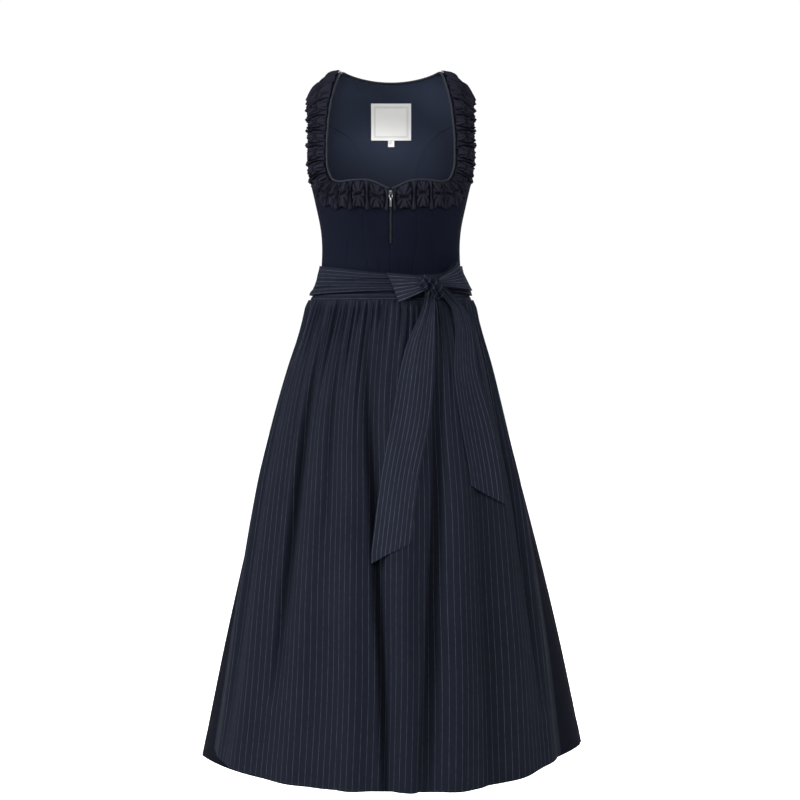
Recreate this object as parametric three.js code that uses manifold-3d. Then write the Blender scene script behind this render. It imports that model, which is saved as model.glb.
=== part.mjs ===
// A sleeveless dirndl, filled out as when it is worn: a zipped bodice with a ruched frill round its
// neckline, a long gathered skirt, and a pinstriped apron whose ties go round the waist and end in a bow
// at the front. Millimetres. The front faces -Y, +X is the wearer's left and +Z is up. The origin lies
// midway between the two shoulder seams, where the wearer's shoulders carry the dress.
import * as THREE from "three";
import Module from "manifold-3d";
import { mergeVertices } from "three/addons/utils/BufferGeometryUtils.js";

// Driving sizes of the garment.
const WAIST = -400;
const UNDERARM = -200;
const SKIRT_HEM = -1276;
const BODICE_WALL = 2;
const SKIRT_WALL = 1.8;
const APRON_WALL = 1.5;
const SEAM_GAP = 0.3;
const HALF_GAP = SEAM_GAP / 2;
const WELD = 1e-4;

// Rings of the garment's form, from the upper chest down to the hem. Each ring is an oval, and its power
// says how full its shoulders are: 1 is an ellipse, and below 1 it is fuller.
const RINGS = [
  { height: -130, halfWidth: 168, front: 92, back: 98, centreX: 0, power: 0.87 },
  { height: -165, halfWidth: 163, front: 101, back: 99, centreX: 0, power: 0.87 },
  { height: -200, halfWidth: 153, front: 108, back: 97, centreX: 0, power: 0.87 },
  { height: -250, halfWidth: 141, front: 111, back: 92, centreX: 0, power: 0.87 },
  { height: -300, halfWidth: 131, front: 104, back: 85, centreX: 0, power: 0.87 },
  { height: -345, halfWidth: 129, front: 95, back: 80, centreX: 0, power: 0.87 },
  { height: -400, halfWidth: 134, front: 90, back: 82, centreX: 0, power: 0.87 },
  { height: -432, halfWidth: 144, front: 98, back: 92, centreX: 0, power: 0.88 },
  { height: -485, halfWidth: 160, front: 114, back: 112, centreX: 0, power: 0.89 },
  { height: -560, halfWidth: 184, front: 138, back: 140, centreX: 0, power: 0.92 },
  { height: -673, halfWidth: 216, front: 170, back: 176, centreX: 0, power: 0.96 },
  { height: -824, halfWidth: 256, front: 212, back: 220, centreX: 1, power: 1.01 },
  { height: -1052, halfWidth: 311, front: 268, back: 276, centreX: 3, power: 1.07 },
  { height: -1300, halfWidth: 363, front: 322, back: 330, centreX: 4, power: 1.11 },
];

// Above the first ring the form closes over the shoulders in an arch, whose top is the shoulder line.
const ARCH_BASE = RINGS[0].height;
const ARCH_RUN = 196;
const ARCH_TOP = ARCH_BASE + ARCH_RUN;
const SHOULDER = { crown: 5.5, fall: 57.5, end: 150 };

// The bust is two soft mounds, as the darts and princess seams shape it.
const BUST = { x: 80, height: -252, rise: 12, spreadX: 46, spreadZ: 44 };

const { clamp, lerp, degToRad, smoothstep } = THREE.MathUtils;

// Reads a column of a table between its rows along a smooth curve. The rows rise or fall steadily in
// `along`.
function readTable(table, along, at, column) {
  const rising = table[1][along] > table[0][along];
  const last = table.length - 1;
  let k = 0;
  while (k < last - 1 && (rising ? at > table[k + 1][along] : at < table[k + 1][along])) k += 1;
  const slopeAt = (n) => {
    const before = table[Math.max(n - 1, 0)];
    const after = table[Math.min(n + 1, last)];
    return (after[column] - before[column]) / (after[along] - before[along]);
  };
  const span = table[k + 1][along] - table[k][along];
  const t = clamp((at - table[k][along]) / span, 0, 1);
  const fromStart = (1 + 2 * t) * (1 - t) ** 2 * table[k][column] + t * (1 - t) ** 2 * span * slopeAt(k);
  const fromEnd = t * t * (3 - 2 * t) * table[k + 1][column] + t * t * (t - 1) * span * slopeAt(k + 1);
  return fromStart + fromEnd;
}

const shoulderLine = (x) => SHOULDER.crown - SHOULDER.fall * Math.abs(x / SHOULDER.end) ** 4;
const signedPower = (value, power) => Math.sign(value) * Math.abs(value) ** power;

// The form's surface. The angle goes round from the front (0) over +X (90 degrees) to the back (180). The
// height is the real one up to the arch's base, and above it the distance run along the arch.
function formSurface(angle, height) {
  const ringHeight = Math.min(height, ARCH_BASE);
  const ring = (column) => readTable(RINGS, "height", ringHeight, column);
  const rise = (Math.max(0, height - ARCH_BASE) / ARCH_RUN) * (Math.PI / 2);
  const x = ring("centreX") + ring("halfWidth") * signedPower(Math.sin(angle), ring("power"));
  const z = rise > 0 ? ARCH_BASE + (shoulderLine(x) - ARCH_BASE) * Math.sin(rise) : height;
  const towardsFront = Math.cos(angle);
  const depth = ring(towardsFront > 0 ? "front" : "back") * signedPower(towardsFront, ring("power"));
  const fromBust = ((Math.abs(x) - BUST.x) / BUST.spreadX) ** 2 + ((z - BUST.height) / BUST.spreadZ) ** 2;
  const bust = towardsFront > 0 ? BUST.rise * Math.exp(-fromBust) : 0;
  return new THREE.Vector3(x, -(depth * Math.cos(rise) + bust), z);
}

// The outward direction of the form. It is level at the waist and below, so that the hems stay level.
const SMALL_ANGLE = 0.02;
const SMALL_HEIGHT = 2;
const LEVELLING = 25;
function formNormal(angle, height) {
  const round = formSurface(angle + SMALL_ANGLE, height).sub(formSurface(angle - SMALL_ANGLE, height));
  const up = formSurface(angle, height + SMALL_HEIGHT).sub(formSurface(angle, height - SMALL_HEIGHT));
  const out = round.cross(up).normalize();
  out.z *= clamp((height - WAIST) / LEVELLING, 0, 1);
  return out.normalize();
}

// A point at some distance outside the form, or inside it where the lift is below zero.
const formPoint = (angle, height, lift) =>
  formSurface(angle, height).addScaledVector(formNormal(angle, height), lift);

// The place on the form, as {angle, height}, of a point seen from the front or the back at x and z.
function frontPlace(x, z) {
  const archShare = clamp((z - ARCH_BASE) / (shoulderLine(x) - ARCH_BASE), 0, 1);
  const height = z <= ARCH_BASE ? z : ARCH_BASE + (Math.asin(archShare) / (Math.PI / 2)) * ARCH_RUN;
  const ringHeight = Math.min(height, ARCH_BASE);
  const ring = (column) => readTable(RINGS, "height", ringHeight, column);
  const share = clamp((x - ring("centreX")) / ring("halfWidth"), -1, 1);
  return { angle: Math.asin(signedPower(share, 1 / ring("power"))), height };
}
function backPlace(x, z) {
  const { angle, height } = frontPlace(x, z);
  return { angle: Math.PI - angle, height };
}

const mixPlaces = (a, b, t) => ({ angle: lerp(a.angle, b.angle, t), height: lerp(a.height, b.height, t) });

// A curve through places of the form. Each place is an equal step of t, from 0 to 1.
const GIRTH = 150;
function placeCurve(places) {
  const points = places.map((p) => new THREE.Vector3(p.angle * GIRTH, p.height, 0));
  const curve = new THREE.CatmullRomCurve3(points, false, "centripetal");
  const read = (t) => {
    const point = curve.getPoint(clamp(t, 0, 1));
    return { angle: point.x / GIRTH, height: point.y };
  };
  return Object.assign(read, { curve });
}

// A panel is filled in between its four edges, each a function of a share from 0 to 1.
function panelPlace({ bottom, top, left, right }, u, v) {
  const mixed = (key) => {
    const edges = (1 - v) * bottom(u)[key] + v * top(u)[key] + (1 - u) * left(v)[key] + u * right(v)[key];
    const leftCorners = (1 - v) * bottom(0)[key] + v * top(0)[key];
    const rightCorners = (1 - v) * bottom(1)[key] + v * top(1)[key];
    return edges - (1 - u) * leftCorners - u * rightCorners;
  };
  return { angle: mixed("angle"), height: mixed("height") };
}

// A wall of cloth over a grid of columns and rows, the rows going up and the columns counter-clockwise
// seen from above. outer and inner give its two faces, and `present` says which cells of the grid are
// cloth.
function clothWall({ columns, rows, outer, inner, present = () => true }) {
  const positions = [];
  const index = [];
  const numbers = new Map();
  const vertex = (side, i, j) => {
    const key = `${side} ${i} ${j}`;
    if (!numbers.has(key)) {
      numbers.set(key, positions.length / 3);
      positions.push(...(side === "outer" ? outer : inner)(i, j).toArray());
    }
    return numbers.get(key);
  };
  const quad = (a, b, c, d) => index.push(a, b, c, a, c, d);
  const rim = (i0, j0, i1, j1) =>
    quad(vertex("outer", i0, j0), vertex("inner", i0, j0), vertex("inner", i1, j1), vertex("outer", i1, j1));
  const here = (i, j) => i >= 0 && j >= 0 && i < columns && j < rows && present(i, j);
  for (let i = 0; i < columns; i += 1) {
    for (let j = 0; j < rows; j += 1) {
      if (!here(i, j)) continue;
      const corners = [
        [i, j],
        [i + 1, j],
        [i + 1, j + 1],
        [i, j + 1],
      ];
      quad(...corners.map(([a, b]) => vertex("outer", a, b)));
      quad(...corners.reverse().map(([a, b]) => vertex("inner", a, b)));
      if (!here(i, j - 1)) rim(i, j, i + 1, j);
      if (!here(i + 1, j)) rim(i + 1, j, i + 1, j + 1);
      if (!here(i, j + 1)) rim(i + 1, j + 1, i, j + 1);
      if (!here(i - 1, j)) rim(i, j + 1, i, j);
    }
  }
  const geometry = new THREE.BufferGeometry();
  geometry.setAttribute("position", new THREE.Float32BufferAttribute(positions, 3));
  geometry.setIndex(index);
  return geometry;
}

// A panel of cloth that lies on the form, between two lifts.
const panelWall = (panel, columns, rows, innerLift, outerLift, present) => {
  const at = (lift) => (i, j) => {
    const { angle, height } = panel(i, j);
    return formPoint(angle, height, lift);
  };
  return clothWall({ columns, rows, outer: at(outerLift), inner: at(innerLift), present });
};

// The same piece for the other side of the body.
function mirrored(geometry) {
  const other = geometry.clone().scale(-1, 1, 1);
  const index = Array.from(other.index.array);
  for (let k = 0; k < index.length; k += 3) [index[k + 1], index[k + 2]] = [index[k + 2], index[k + 1]];
  return other.setIndex(index);
}

// Half of the front neckline, seen from the front, from the zip's top to where the strap meets the
// shoulder seam.
const ZIP_HALF = 3.4;
const NECKLINE = [
  { x: ZIP_HALF, z: -229 },
  { x: 20, z: -222 },
  { x: 33, z: -216 },
  { x: 47, z: -213.3 },
  { x: 62, z: -213.3 },
  { x: 78, z: -214.3 },
  { x: 94, z: -216 },
  { x: 109, z: -211 },
];
const PRINCESS_TOP = 3;
const STRAP_ROWS = 8;
const STRAP_NECK_EDGE = [
  { x: 109, z: -211 },
  { x: 117.5, z: -190 },
  { x: 119.5, z: -160 },
  { x: 118.5, z: -120 },
  { x: 113.5, z: -72 },
  { x: 103.5, z: -30 },
];
const SHOULDER_SEAM = { neckX: 93, armX: SHOULDER.end };
const STRAP_ARM_EDGE = [
  { x: 145, z: -189 },
  { x: 149, z: -160 },
  { x: 150, z: -120 },
  { x: 150, z: -85 },
  { x: 150, z: -65 },
];
const shoulderPlace = (x, gap) => ({ angle: frontPlace(x, ARCH_BASE).angle, height: ARCH_TOP - gap });

const neckPlaces = NECKLINE.map(({ x, z }) => frontPlace(x, z));
const strapNeckEdge = placeCurve([
  ...STRAP_NECK_EDGE.map(({ x, z }) => frontPlace(x, z)),
  shoulderPlace(SHOULDER_SEAM.neckX, SEAM_GAP),
]);
const strapArmEdge = placeCurve([
  ...STRAP_ARM_EDGE.map(({ x, z }) => frontPlace(x, z)),
  shoulderPlace(SHOULDER_SEAM.armX, SEAM_GAP),
]);

// The front princess seam, from the waist up to the neckline.
const PRINCESS_SEAM = [
  { z: -400, x: 36 },
  { z: -366, x: 40 },
  { z: -333, x: 46 },
  { z: -300, x: 49 },
  { z: -260, x: 48 },
  { z: -213.3, x: 47 },
];
// The front panels' rows, as shares of the way up from the waist. Two of them lie close together at the
// zip's end.
const FRONT_ROW_SHARES = [0, 0.14, 0.28, 0.405, 0.43, 0.57, 0.71, 0.86, 1];
const FRONT_ROWS = FRONT_ROW_SHARES.length - 1;
const princessPlace = (v, gap) => {
  const z = lerp(WAIST, NECKLINE[PRINCESS_TOP].z, v);
  return frontPlace(readTable(PRINCESS_SEAM, "z", z, "x") + gap, z);
};

// The centre front panel runs from the zip to the princess seam. Below the zip its edge closes to the
// plain seam.
const ZIP_END_ROW = 4;
function centreFrontPanel() {
  const columns = PRINCESS_TOP;
  const place = (i, j) => {
    const v = FRONT_ROW_SHARES[j];
    const top = NECKLINE[i];
    const z = lerp(WAIST, top.z, v);
    const share = lerp(i / columns, (top.x - ZIP_HALF) / (NECKLINE[columns].x - ZIP_HALF), v);
    const edgeX = j < ZIP_END_ROW ? HALF_GAP : ZIP_HALF;
    const seamX = readTable(PRINCESS_SEAM, "z", z, "x") - HALF_GAP;
    return frontPlace(lerp(edgeX, seamX, share), z);
  };
  return panelWall(place, columns, FRONT_ROWS, -BODICE_WALL, 0);
}

// The side front panel goes from the princess seam to the side seam, with its strap up to the shoulder
// seam.
const STRAP_COLUMNS = 4;
const sideSeamAngle = (height, gap) => Math.PI / 2 + gap / readTable(RINGS, "height", height, "halfWidth");
const ARMHOLE_BOTTOM = [
  { angle: degToRad(75), height: -195.5 },
  { angle: degToRad(83), height: -199 },
  { angle: sideSeamAngle(UNDERARM, -HALF_GAP), height: UNDERARM },
];
function sideFrontPlaces() {
  const neckPart = neckPlaces.slice(PRINCESS_TOP);
  const strapShares = [...Array(STRAP_COLUMNS).keys()].map((k) => (k + 1) / STRAP_COLUMNS);
  const strapFoot = strapShares.map((share) => mixPlaces(strapNeckEdge(0), strapArmEdge(0), share));
  const topPlaces = [...neckPart, ...strapFoot, ...ARMHOLE_BOTTOM];
  const columns = topPlaces.length - 1;
  const strapStart = neckPart.length - 1;
  const sideAngle = (height) => sideSeamAngle(height, -HALF_GAP);
  const edges = {
    bottom: (u) => ({ angle: lerp(princessPlace(0, HALF_GAP).angle, sideAngle(WAIST), u), height: WAIST }),
    top: (u) => topPlaces[Math.round(u * columns)],
    left: (v) => princessPlace(v, HALF_GAP),
    right: (v) => ({ angle: sideAngle(lerp(WAIST, UNDERARM, v)), height: lerp(WAIST, UNDERARM, v) }),
  };
  const place = (i, j) => {
    if (j <= FRONT_ROWS) return panelPlace(edges, i / columns, FRONT_ROW_SHARES[j]);
    const up = (j - FRONT_ROWS) / STRAP_ROWS;
    return mixPlaces(strapNeckEdge(up), strapArmEdge(up), (i - strapStart) / STRAP_COLUMNS);
  };
  const present = (i, j) => j < FRONT_ROWS || (i >= strapStart && i < strapStart + STRAP_COLUMNS);
  return { place, columns, present };
}
function sideFrontPanel() {
  const { place, columns, present } = sideFrontPlaces();
  return panelWall(place, columns, FRONT_ROWS + STRAP_ROWS, -BODICE_WALL, 0, present);
}

// The back seam curves from the waist out to the armhole. middleZ is where its row crosses the middle of
// the back.
const BACK_SEAM = [
  { x: 36, z: -400, middleZ: -400 },
  { x: 38, z: -345, middleZ: -345 },
  { x: 41, z: -285, middleZ: -285 },
  { x: 43, z: -230, middleZ: -234 },
  { x: 45, z: -191, middleZ: -203 },
  { x: 52, z: -163, middleZ: -178 },
  { x: 64, z: -139, middleZ: -156 },
  { x: 84, z: -117, middleZ: -135 },
  { x: 114, z: -99, middleZ: -114 },
  { x: 146, z: -90, middleZ: -93 },
];
const BACK_NECK = { drop: -19, rise: 16 };
const BACK_COLUMNS_X = [150, 131, 112, 93, 70, 46, 23, 0, -23, -46, -70, -93, -112, -131, -150];
// The rows above the seam's end, at the armhole and at the middle of the back.
const BACK_UPPER_ROWS = [
  { armX: 149, armZ: -79, middleZ: -72 },
  { armX: 150, armZ: -66, middleZ: -47 },
];
const backSeam = placeCurve(BACK_SEAM.map(({ x, z }) => backPlace(x, z)));
const seamRows = BACK_SEAM.length - 1;
const backNeckZ = (x) => BACK_NECK.drop + BACK_NECK.rise * (x / SHOULDER_SEAM.neckX) ** 2;
const moved = ({ angle, height }, millimetres) => ({ angle: angle + millimetres / GIRTH, height });

function centreBackPlaces() {
  const columns = BACK_COLUMNS_X.length - 1;
  const rows = seamRows + BACK_UPPER_ROWS.length + 1;
  const place = (i, j) => {
    const topX = BACK_COLUMNS_X[i];
    const share = topX / BACK_COLUMNS_X[0];
    if (j <= seamRows) {
      const edge = moved(backPlace(BACK_SEAM[j].x, BACK_SEAM[j].z), HALF_GAP);
      const edgeX = formSurface(edge.angle, edge.height).x;
      return backPlace(edgeX * share, lerp(BACK_SEAM[j].middleZ, BACK_SEAM[j].z, share * share));
    }
    if (j < rows) {
      const { armX, armZ, middleZ } = BACK_UPPER_ROWS[j - seamRows - 1];
      return backPlace(armX * share, lerp(middleZ, armZ, share * share));
    }
    if (Math.abs(topX) < SHOULDER_SEAM.neckX) return backPlace(topX, backNeckZ(topX));
    return { angle: Math.PI - shoulderPlace(topX, 0).angle, height: ARCH_TOP - SEAM_GAP };
  };
  return { columns, rows, place };
}
function centreBackPanel() {
  const { columns, rows, place } = centreBackPlaces();
  return panelWall(place, columns, rows, -BODICE_WALL, 0);
}

const SIDE_BACK_COLUMNS = 5;
function sideBackPanel() {
  const columns = SIDE_BACK_COLUMNS;
  const sideAngle = (height) => sideSeamAngle(height, HALF_GAP);
  const seamFoot = moved(backSeam(0), -HALF_GAP);
  const armhole = placeCurve([
    { angle: sideAngle(UNDERARM), height: UNDERARM },
    { angle: degToRad(98), height: -190 },
    { angle: degToRad(106), height: -160 },
    moved(backSeam(1), -HALF_GAP),
  ]);
  const edges = {
    bottom: (u) => ({ angle: lerp(sideAngle(WAIST), seamFoot.angle, u), height: WAIST }),
    top: armhole,
    left: (v) => ({ angle: sideAngle(lerp(WAIST, UNDERARM, v)), height: lerp(WAIST, UNDERARM, v) }),
    right: (v) => moved(backSeam(v), -HALF_GAP),
  };
  const place = (i, j) => panelPlace(edges, i / columns, j / seamRows);
  return panelWall(place, columns, seamRows, -BODICE_WALL, 0);
}

// The frill is a ribbon of box pleats, each pinched in its middle, with a pursed mouth between one pleat
// and the next. Its far edge is given at the neckline's places.
const FRILL_EDGE = [
  { x: 6, z: -263 },
  { x: 20, z: -262 },
  { x: 33, z: -261 },
  { x: 46, z: -260 },
  { x: 62, z: -259 },
  { x: 80, z: -259 },
  { x: 102, z: -257 },
  { x: 130, z: -243 },
  { x: 147, z: -203 },
  { x: 150.5, z: -163 },
  { x: 151, z: -121 },
  { x: 151, z: -88 },
  { x: 150.5, z: -68 },
];
const FRILL_START = { x: 5.8, z: -228 };
const FRILL_INSET = 0.13;
const FRILL_UNITS = 14;
const FRILL_BASE_LIFT = 1.3;
const FRILL_EDGE_FLARE = 0.05;
// One unit's height over the bodice. The columns go along the ribbon, and each row goes across it.
const FRILL_RELIEF = [
  { along: "pleat ridge", across: [5.5, 6, 7.5, 6, 5.5], flare: 1 },
  { along: "pleat side", across: [3, 3.2, 4.4, 3.2, 3], flare: 0.4 },
  { along: "mouth", across: [2.6, 7, 2.2, 7, 2.6], flare: -1 },
  { along: "pleat side", across: [3, 3.2, 4.4, 3.2, 3], flare: 0.4 },
];
function frillHalf() {
  const across = FRILL_RELIEF[0].across.length - 1;
  const columns = FRILL_UNITS * FRILL_RELIEF.length;
  const shoulderEnd = shoulderPlace(SHOULDER_SEAM.armX, SEAM_GAP);
  const strapSteps = FRILL_EDGE.length - neckPlaces.length;
  const alongStrap = [...Array(strapSteps).keys()].map((k) => strapNeckEdge((k + 1) / (strapSteps + 1)));
  const start = frontPlace(FRILL_START.x, FRILL_START.z);
  const neckEdge = placeCurve([start, ...neckPlaces.slice(1), ...alongStrap, strapNeckEdge(1)]);
  const farEdge = placeCurve([...FRILL_EDGE.map(({ x, z }) => frontPlace(x, z)), shoulderEnd]);
  const place = (i, j) => {
    const t = farEdge.curve.getUtoTmapping(i / columns);
    const flare = j === across ? FRILL_EDGE_FLARE * FRILL_RELIEF[i % FRILL_RELIEF.length].flare : 0;
    return mixPlaces(neckEdge(t), farEdge(t), lerp(FRILL_INSET, 1, j / across) + flare);
  };
  const at = (lift) => (i, j) => {
    const { angle, height } = place(i, across - j);
    return formPoint(angle, height, lift(i, across - j));
  };
  return clothWall({
    columns,
    rows: across,
    outer: at((i, j) => FRILL_RELIEF[i % FRILL_RELIEF.length].across[j]),
    inner: at(() => FRILL_BASE_LIFT),
  });
}

// A round cord edges the whole neckline. It passes the same corners as the panels, just inside the
// opening.
const PIPING = { radius: 1.8, sides: 6, clearance: 0.4, depth: 1 };
function neckPiping() {
  const { place, columns: backColumns, rows } = centreBackPlaces();
  const front = [...neckPlaces];
  for (let k = 1; k <= STRAP_ROWS; k += 1) front.push(strapNeckEdge(k / STRAP_ROWS));
  const back = [];
  for (let i = 0; i <= backColumns; i += 1) {
    if (Math.abs(BACK_COLUMNS_X[i]) <= SHOULDER_SEAM.neckX) back.push(place(i, rows));
  }
  const farFront = front.map(({ angle, height }) => ({ angle: -angle, height })).reverse();
  const places = [...front, ...back.slice(1, -1), ...farFront];
  const onEdge = places.map(({ angle, height }) => formPoint(angle, height, -PIPING.depth));
  const normals = places.map(({ angle, height }) => formNormal(angle, height));
  const last = places.length - 1;
  const reach = PIPING.radius + PIPING.clearance;
  const corners = onEdge.map((point, k) => {
    const along = onEdge[Math.min(k + 1, last)].clone().sub(onEdge[Math.max(k - 1, 0)]).normalize();
    const intoOpening = normals[k].clone().cross(along).normalize();
    const before = point.clone().sub(onEdge[Math.max(k - 1, 0)]).normalize();
    const bend = k > 0 && k < last ? Math.sqrt((1 + before.dot(along) ** 2) / 2) : 1;
    const centre = point.clone().addScaledVector(intoOpening, reach / bend);
    return { point: centre, intoOpening, normal: normals[k] };
  });
  const ring = ({ point, intoOpening, normal }, n) => {
    const turn = (2 * Math.PI * n) / PIPING.sides;
    return point
      .clone()
      .addScaledVector(intoOpening, PIPING.radius * Math.cos(turn))
      .addScaledVector(normal, PIPING.radius * Math.sin(turn));
  };
  const positions = corners.flatMap((corner) =>
    [...Array(PIPING.sides).keys()].flatMap((n) => ring(corner, n).toArray()),
  );
  const index = [];
  const number = (k, n) => k * PIPING.sides + (n % PIPING.sides);
  for (let k = 0; k < last; k += 1) {
    for (let n = 0; n < PIPING.sides; n += 1) {
      index.push(number(k, n), number(k, n + 1), number(k + 1, n + 1));
      index.push(number(k, n), number(k + 1, n + 1), number(k + 1, n));
    }
  }
  for (let n = 1; n < PIPING.sides - 1; n += 1) {
    index.push(number(0, 0), number(0, n + 1), number(0, n));
    index.push(number(last, 0), number(last, n), number(last, n + 1));
  }
  const geometry = new THREE.BufferGeometry();
  geometry.setAttribute("position", new THREE.Float32BufferAttribute(positions, 3));
  return geometry.setIndex(index);
}

// The zip: two tapes behind the panels' edges with the closed chain between them, a slider, and its pull
// tab.
const ZIP = { tapeHalf: 9, tapeWall: 0.8, tapeGap: 0.8, chainHalf: 2.6, chainOut: 0.6, rows: 8, top: -231 };
const ZIP_END = lerp(WAIST, NECKLINE[0].z, FRONT_ROW_SHARES[ZIP_END_ROW]);
function zipTape() {
  const shape = [-ZIP.tapeHalf, -ZIP.chainHalf, ZIP.chainHalf, ZIP.tapeHalf];
  const tapeOuter = -BODICE_WALL - ZIP.tapeGap;
  const at = (lifts) => (i, j) => {
    const { angle, height } = frontPlace(shape[i], lerp(ZIP_END, ZIP.top, j / ZIP.rows));
    return formPoint(angle, height, lifts[i]);
  };
  const outer = at(Array(shape.length).fill(tapeOuter));
  const inner = at(Array(shape.length).fill(tapeOuter - ZIP.tapeWall));
  return clothWall({ columns: shape.length - 1, rows: ZIP.rows, outer, inner });
}
function zipChain() {
  const at = (lift) => (i, j) => {
    const x = lerp(-ZIP.chainHalf, ZIP.chainHalf, i);
    const { angle, height } = frontPlace(x, lerp(ZIP_END + SEAM_GAP, ZIP.top, j / ZIP.rows));
    return formPoint(angle, height, lift);
  };
  return clothWall({ columns: 1, rows: ZIP.rows, outer: at(ZIP.chainOut), inner: at(-BODICE_WALL) });
}
const SLIDER = { halfWidth: 4, tipHalf: 2.8, length: 10, wall: 2, top: -231.5, gap: 1 };
const BRIDGE = { radius: 1.8, wall: 1.2, halfWidth: 0.9, segments: 6 };
const PULL = { barRadius: 0.75, halfWidth: 3.4, wall: 1.2, tabHalf: 1.8, length: 24, taper: 3 };
const PULL_WINDOW = { halfWidth: 2, length: 9, point: 1.5 };
const sliderMiddle = SLIDER.top - SLIDER.length / 2;
const sliderFaceY = formSurface(0, sliderMiddle).y - SLIDER.gap - SLIDER.wall;
const PULL_AXIS = { y: sliderFaceY - BRIDGE.radius, z: sliderMiddle };
function zipSlider() {
  const { halfWidth, tipHalf, length, wall } = SLIDER;
  const plate = new THREE.Shape();
  plate.moveTo(-tipHalf, -length / 2);
  plate.lineTo(tipHalf, -length / 2);
  plate.lineTo(halfWidth, length / 4);
  plate.lineTo(tipHalf, length / 2);
  plate.lineTo(-tipHalf, length / 2);
  plate.lineTo(-halfWidth, length / 4);
  const body = new THREE.ExtrudeGeometry(plate, { depth: wall, bevelEnabled: false });
  body.rotateX(Math.PI / 2).translate(0, sliderFaceY + wall, sliderMiddle);
  const arch = new THREE.Shape();
  const outerRadius = BRIDGE.radius + BRIDGE.wall;
  const foot = -BRIDGE.radius - wall / 2;
  arch.moveTo(outerRadius, foot);
  arch.absarc(0, 0, outerRadius, 0, Math.PI, false);
  arch.lineTo(-outerRadius, foot);
  arch.lineTo(-BRIDGE.radius, foot);
  arch.absarc(0, 0, BRIDGE.radius, Math.PI, 0, true);
  arch.lineTo(BRIDGE.radius, foot);
  const bridge = new THREE.ExtrudeGeometry(arch, {
    depth: 2 * BRIDGE.halfWidth,
    bevelEnabled: false,
    curveSegments: BRIDGE.segments,
  });
  bridge.translate(0, 0, -BRIDGE.halfWidth).rotateY(Math.PI / 2).rotateX(Math.PI / 2);
  bridge.translate(0, PULL_AXIS.y, PULL_AXIS.z);
  return joined([body, bridge]);
}
function zipPull() {
  const { halfWidth, tabHalf, barRadius, length, wall, taper } = PULL;
  const neck = -PULL_WINDOW.length - wall;
  const outline = new THREE.Shape();
  outline.moveTo(-halfWidth, barRadius);
  outline.lineTo(-halfWidth, neck + taper);
  outline.lineTo(-tabHalf, neck);
  outline.lineTo(-tabHalf, -length);
  outline.lineTo(tabHalf, -length);
  outline.lineTo(tabHalf, neck);
  outline.lineTo(halfWidth, neck + taper);
  outline.lineTo(halfWidth, barRadius);
  const window = new THREE.Path();
  window.moveTo(-PULL_WINDOW.halfWidth, -barRadius);
  window.lineTo(PULL_WINDOW.halfWidth, -barRadius);
  window.lineTo(PULL_WINDOW.halfWidth, PULL_WINDOW.point - PULL_WINDOW.length);
  window.lineTo(0, -PULL_WINDOW.length);
  window.lineTo(-PULL_WINDOW.halfWidth, PULL_WINDOW.point - PULL_WINDOW.length);
  outline.holes.push(window);
  const tab = new THREE.ExtrudeGeometry(outline, { depth: wall, bevelEnabled: false });
  return tab.translate(0, 0, -wall / 2).rotateX(Math.PI / 2).translate(0, PULL_AXIS.y, PULL_AXIS.z);
}

// The woven label inside the back, and the folded size tab under it.
const LABEL = { halfWidth: 38.5, top: -52, bottom: -122, wall: 0.8, gap: 1.3, columns: 6, rows: 5 };
const SIZE_TAB = { halfWidth: 6, drop: 12, wall: 1.2 };
function insideBack(halfWidth, top, bottom, wall, columns, rows) {
  const liningLift = -BODICE_WALL - LABEL.gap;
  const at = (lift) => (i, j) => {
    const x = lerp(halfWidth, -halfWidth, i / columns);
    const { angle, height } = backPlace(x, lerp(bottom, top, j / rows));
    return formPoint(angle, height, lift);
  };
  return clothWall({ columns, rows, outer: at(liningLift), inner: at(liningLift - wall) });
}
const label = () => {
  const { halfWidth, top, bottom, wall, columns, rows } = LABEL;
  return insideBack(halfWidth, top, bottom, wall, columns, rows);
};
const sizeTab = () => {
  const top = LABEL.bottom - SEAM_GAP;
  return insideBack(SIZE_TAB.halfWidth, top, top - SIZE_TAB.drop, SIZE_TAB.wall, 1, 2);
};

// Gathers are small pleats, one to every two columns, that fade out below the waist.
const GATHER_FADE = { from: 0.02, to: 0.34 };
const gatherFade = (drop) => 1 - smoothstep(drop, GATHER_FADE.from, GATHER_FADE.to);
const trough = (at, middle, width) => Math.exp(-(((at - middle) / width) ** 2));

// The skirt's rows, as shares of the way from the waist seam to the hem.
const SKIRT_DROPS = [0, 0.035, 0.075, 0.14, 0.24, 0.37, 0.52, 0.68, 0.84, 1];
const SKIRT_COLUMNS = { front: 28, back: 36 };
const SKIRT_GATHER = 5;
const GATHER_AT_SEAM = 2;
const UNDER_APRON = { lift: 1.1, gather: 0.35 };
const FREE_FROM = { angle: 88, full: 112 };
// The skirt's loose folds, from the first angle round the back to the same place on the other side.
const SKIRT_FOLD = { count: 17, depth: 20, start: 0.04, full: 0.55, uneven: 0.25, wander: 0.7 };
const SKIRT_UNEVENNESS = { strengthWaves: 5, wanderWaves: 3, wanderDown: 2 };
// The hem is not quite level: how far it rises or falls, by angle from the centre front.
const HEM_DROPS = [
  { angle: -90, drop: 14 },
  { angle: -72, drop: 3 },
  { angle: -45, drop: 1 },
  { angle: -20, drop: 3 },
  { angle: 0, drop: 1 },
  { angle: 22, drop: 5 },
  { angle: 40, drop: -6 },
  { angle: 55, drop: -17 },
  { angle: 72, drop: -18 },
  { angle: 90, drop: -12 },
  { angle: 180, drop: 0 },
  { angle: 270, drop: 14 },
];
const skirtHem = (angle) => SKIRT_HEM - readTable(HEM_DROPS, "angle", angle / degToRad(1), "drop");
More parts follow.
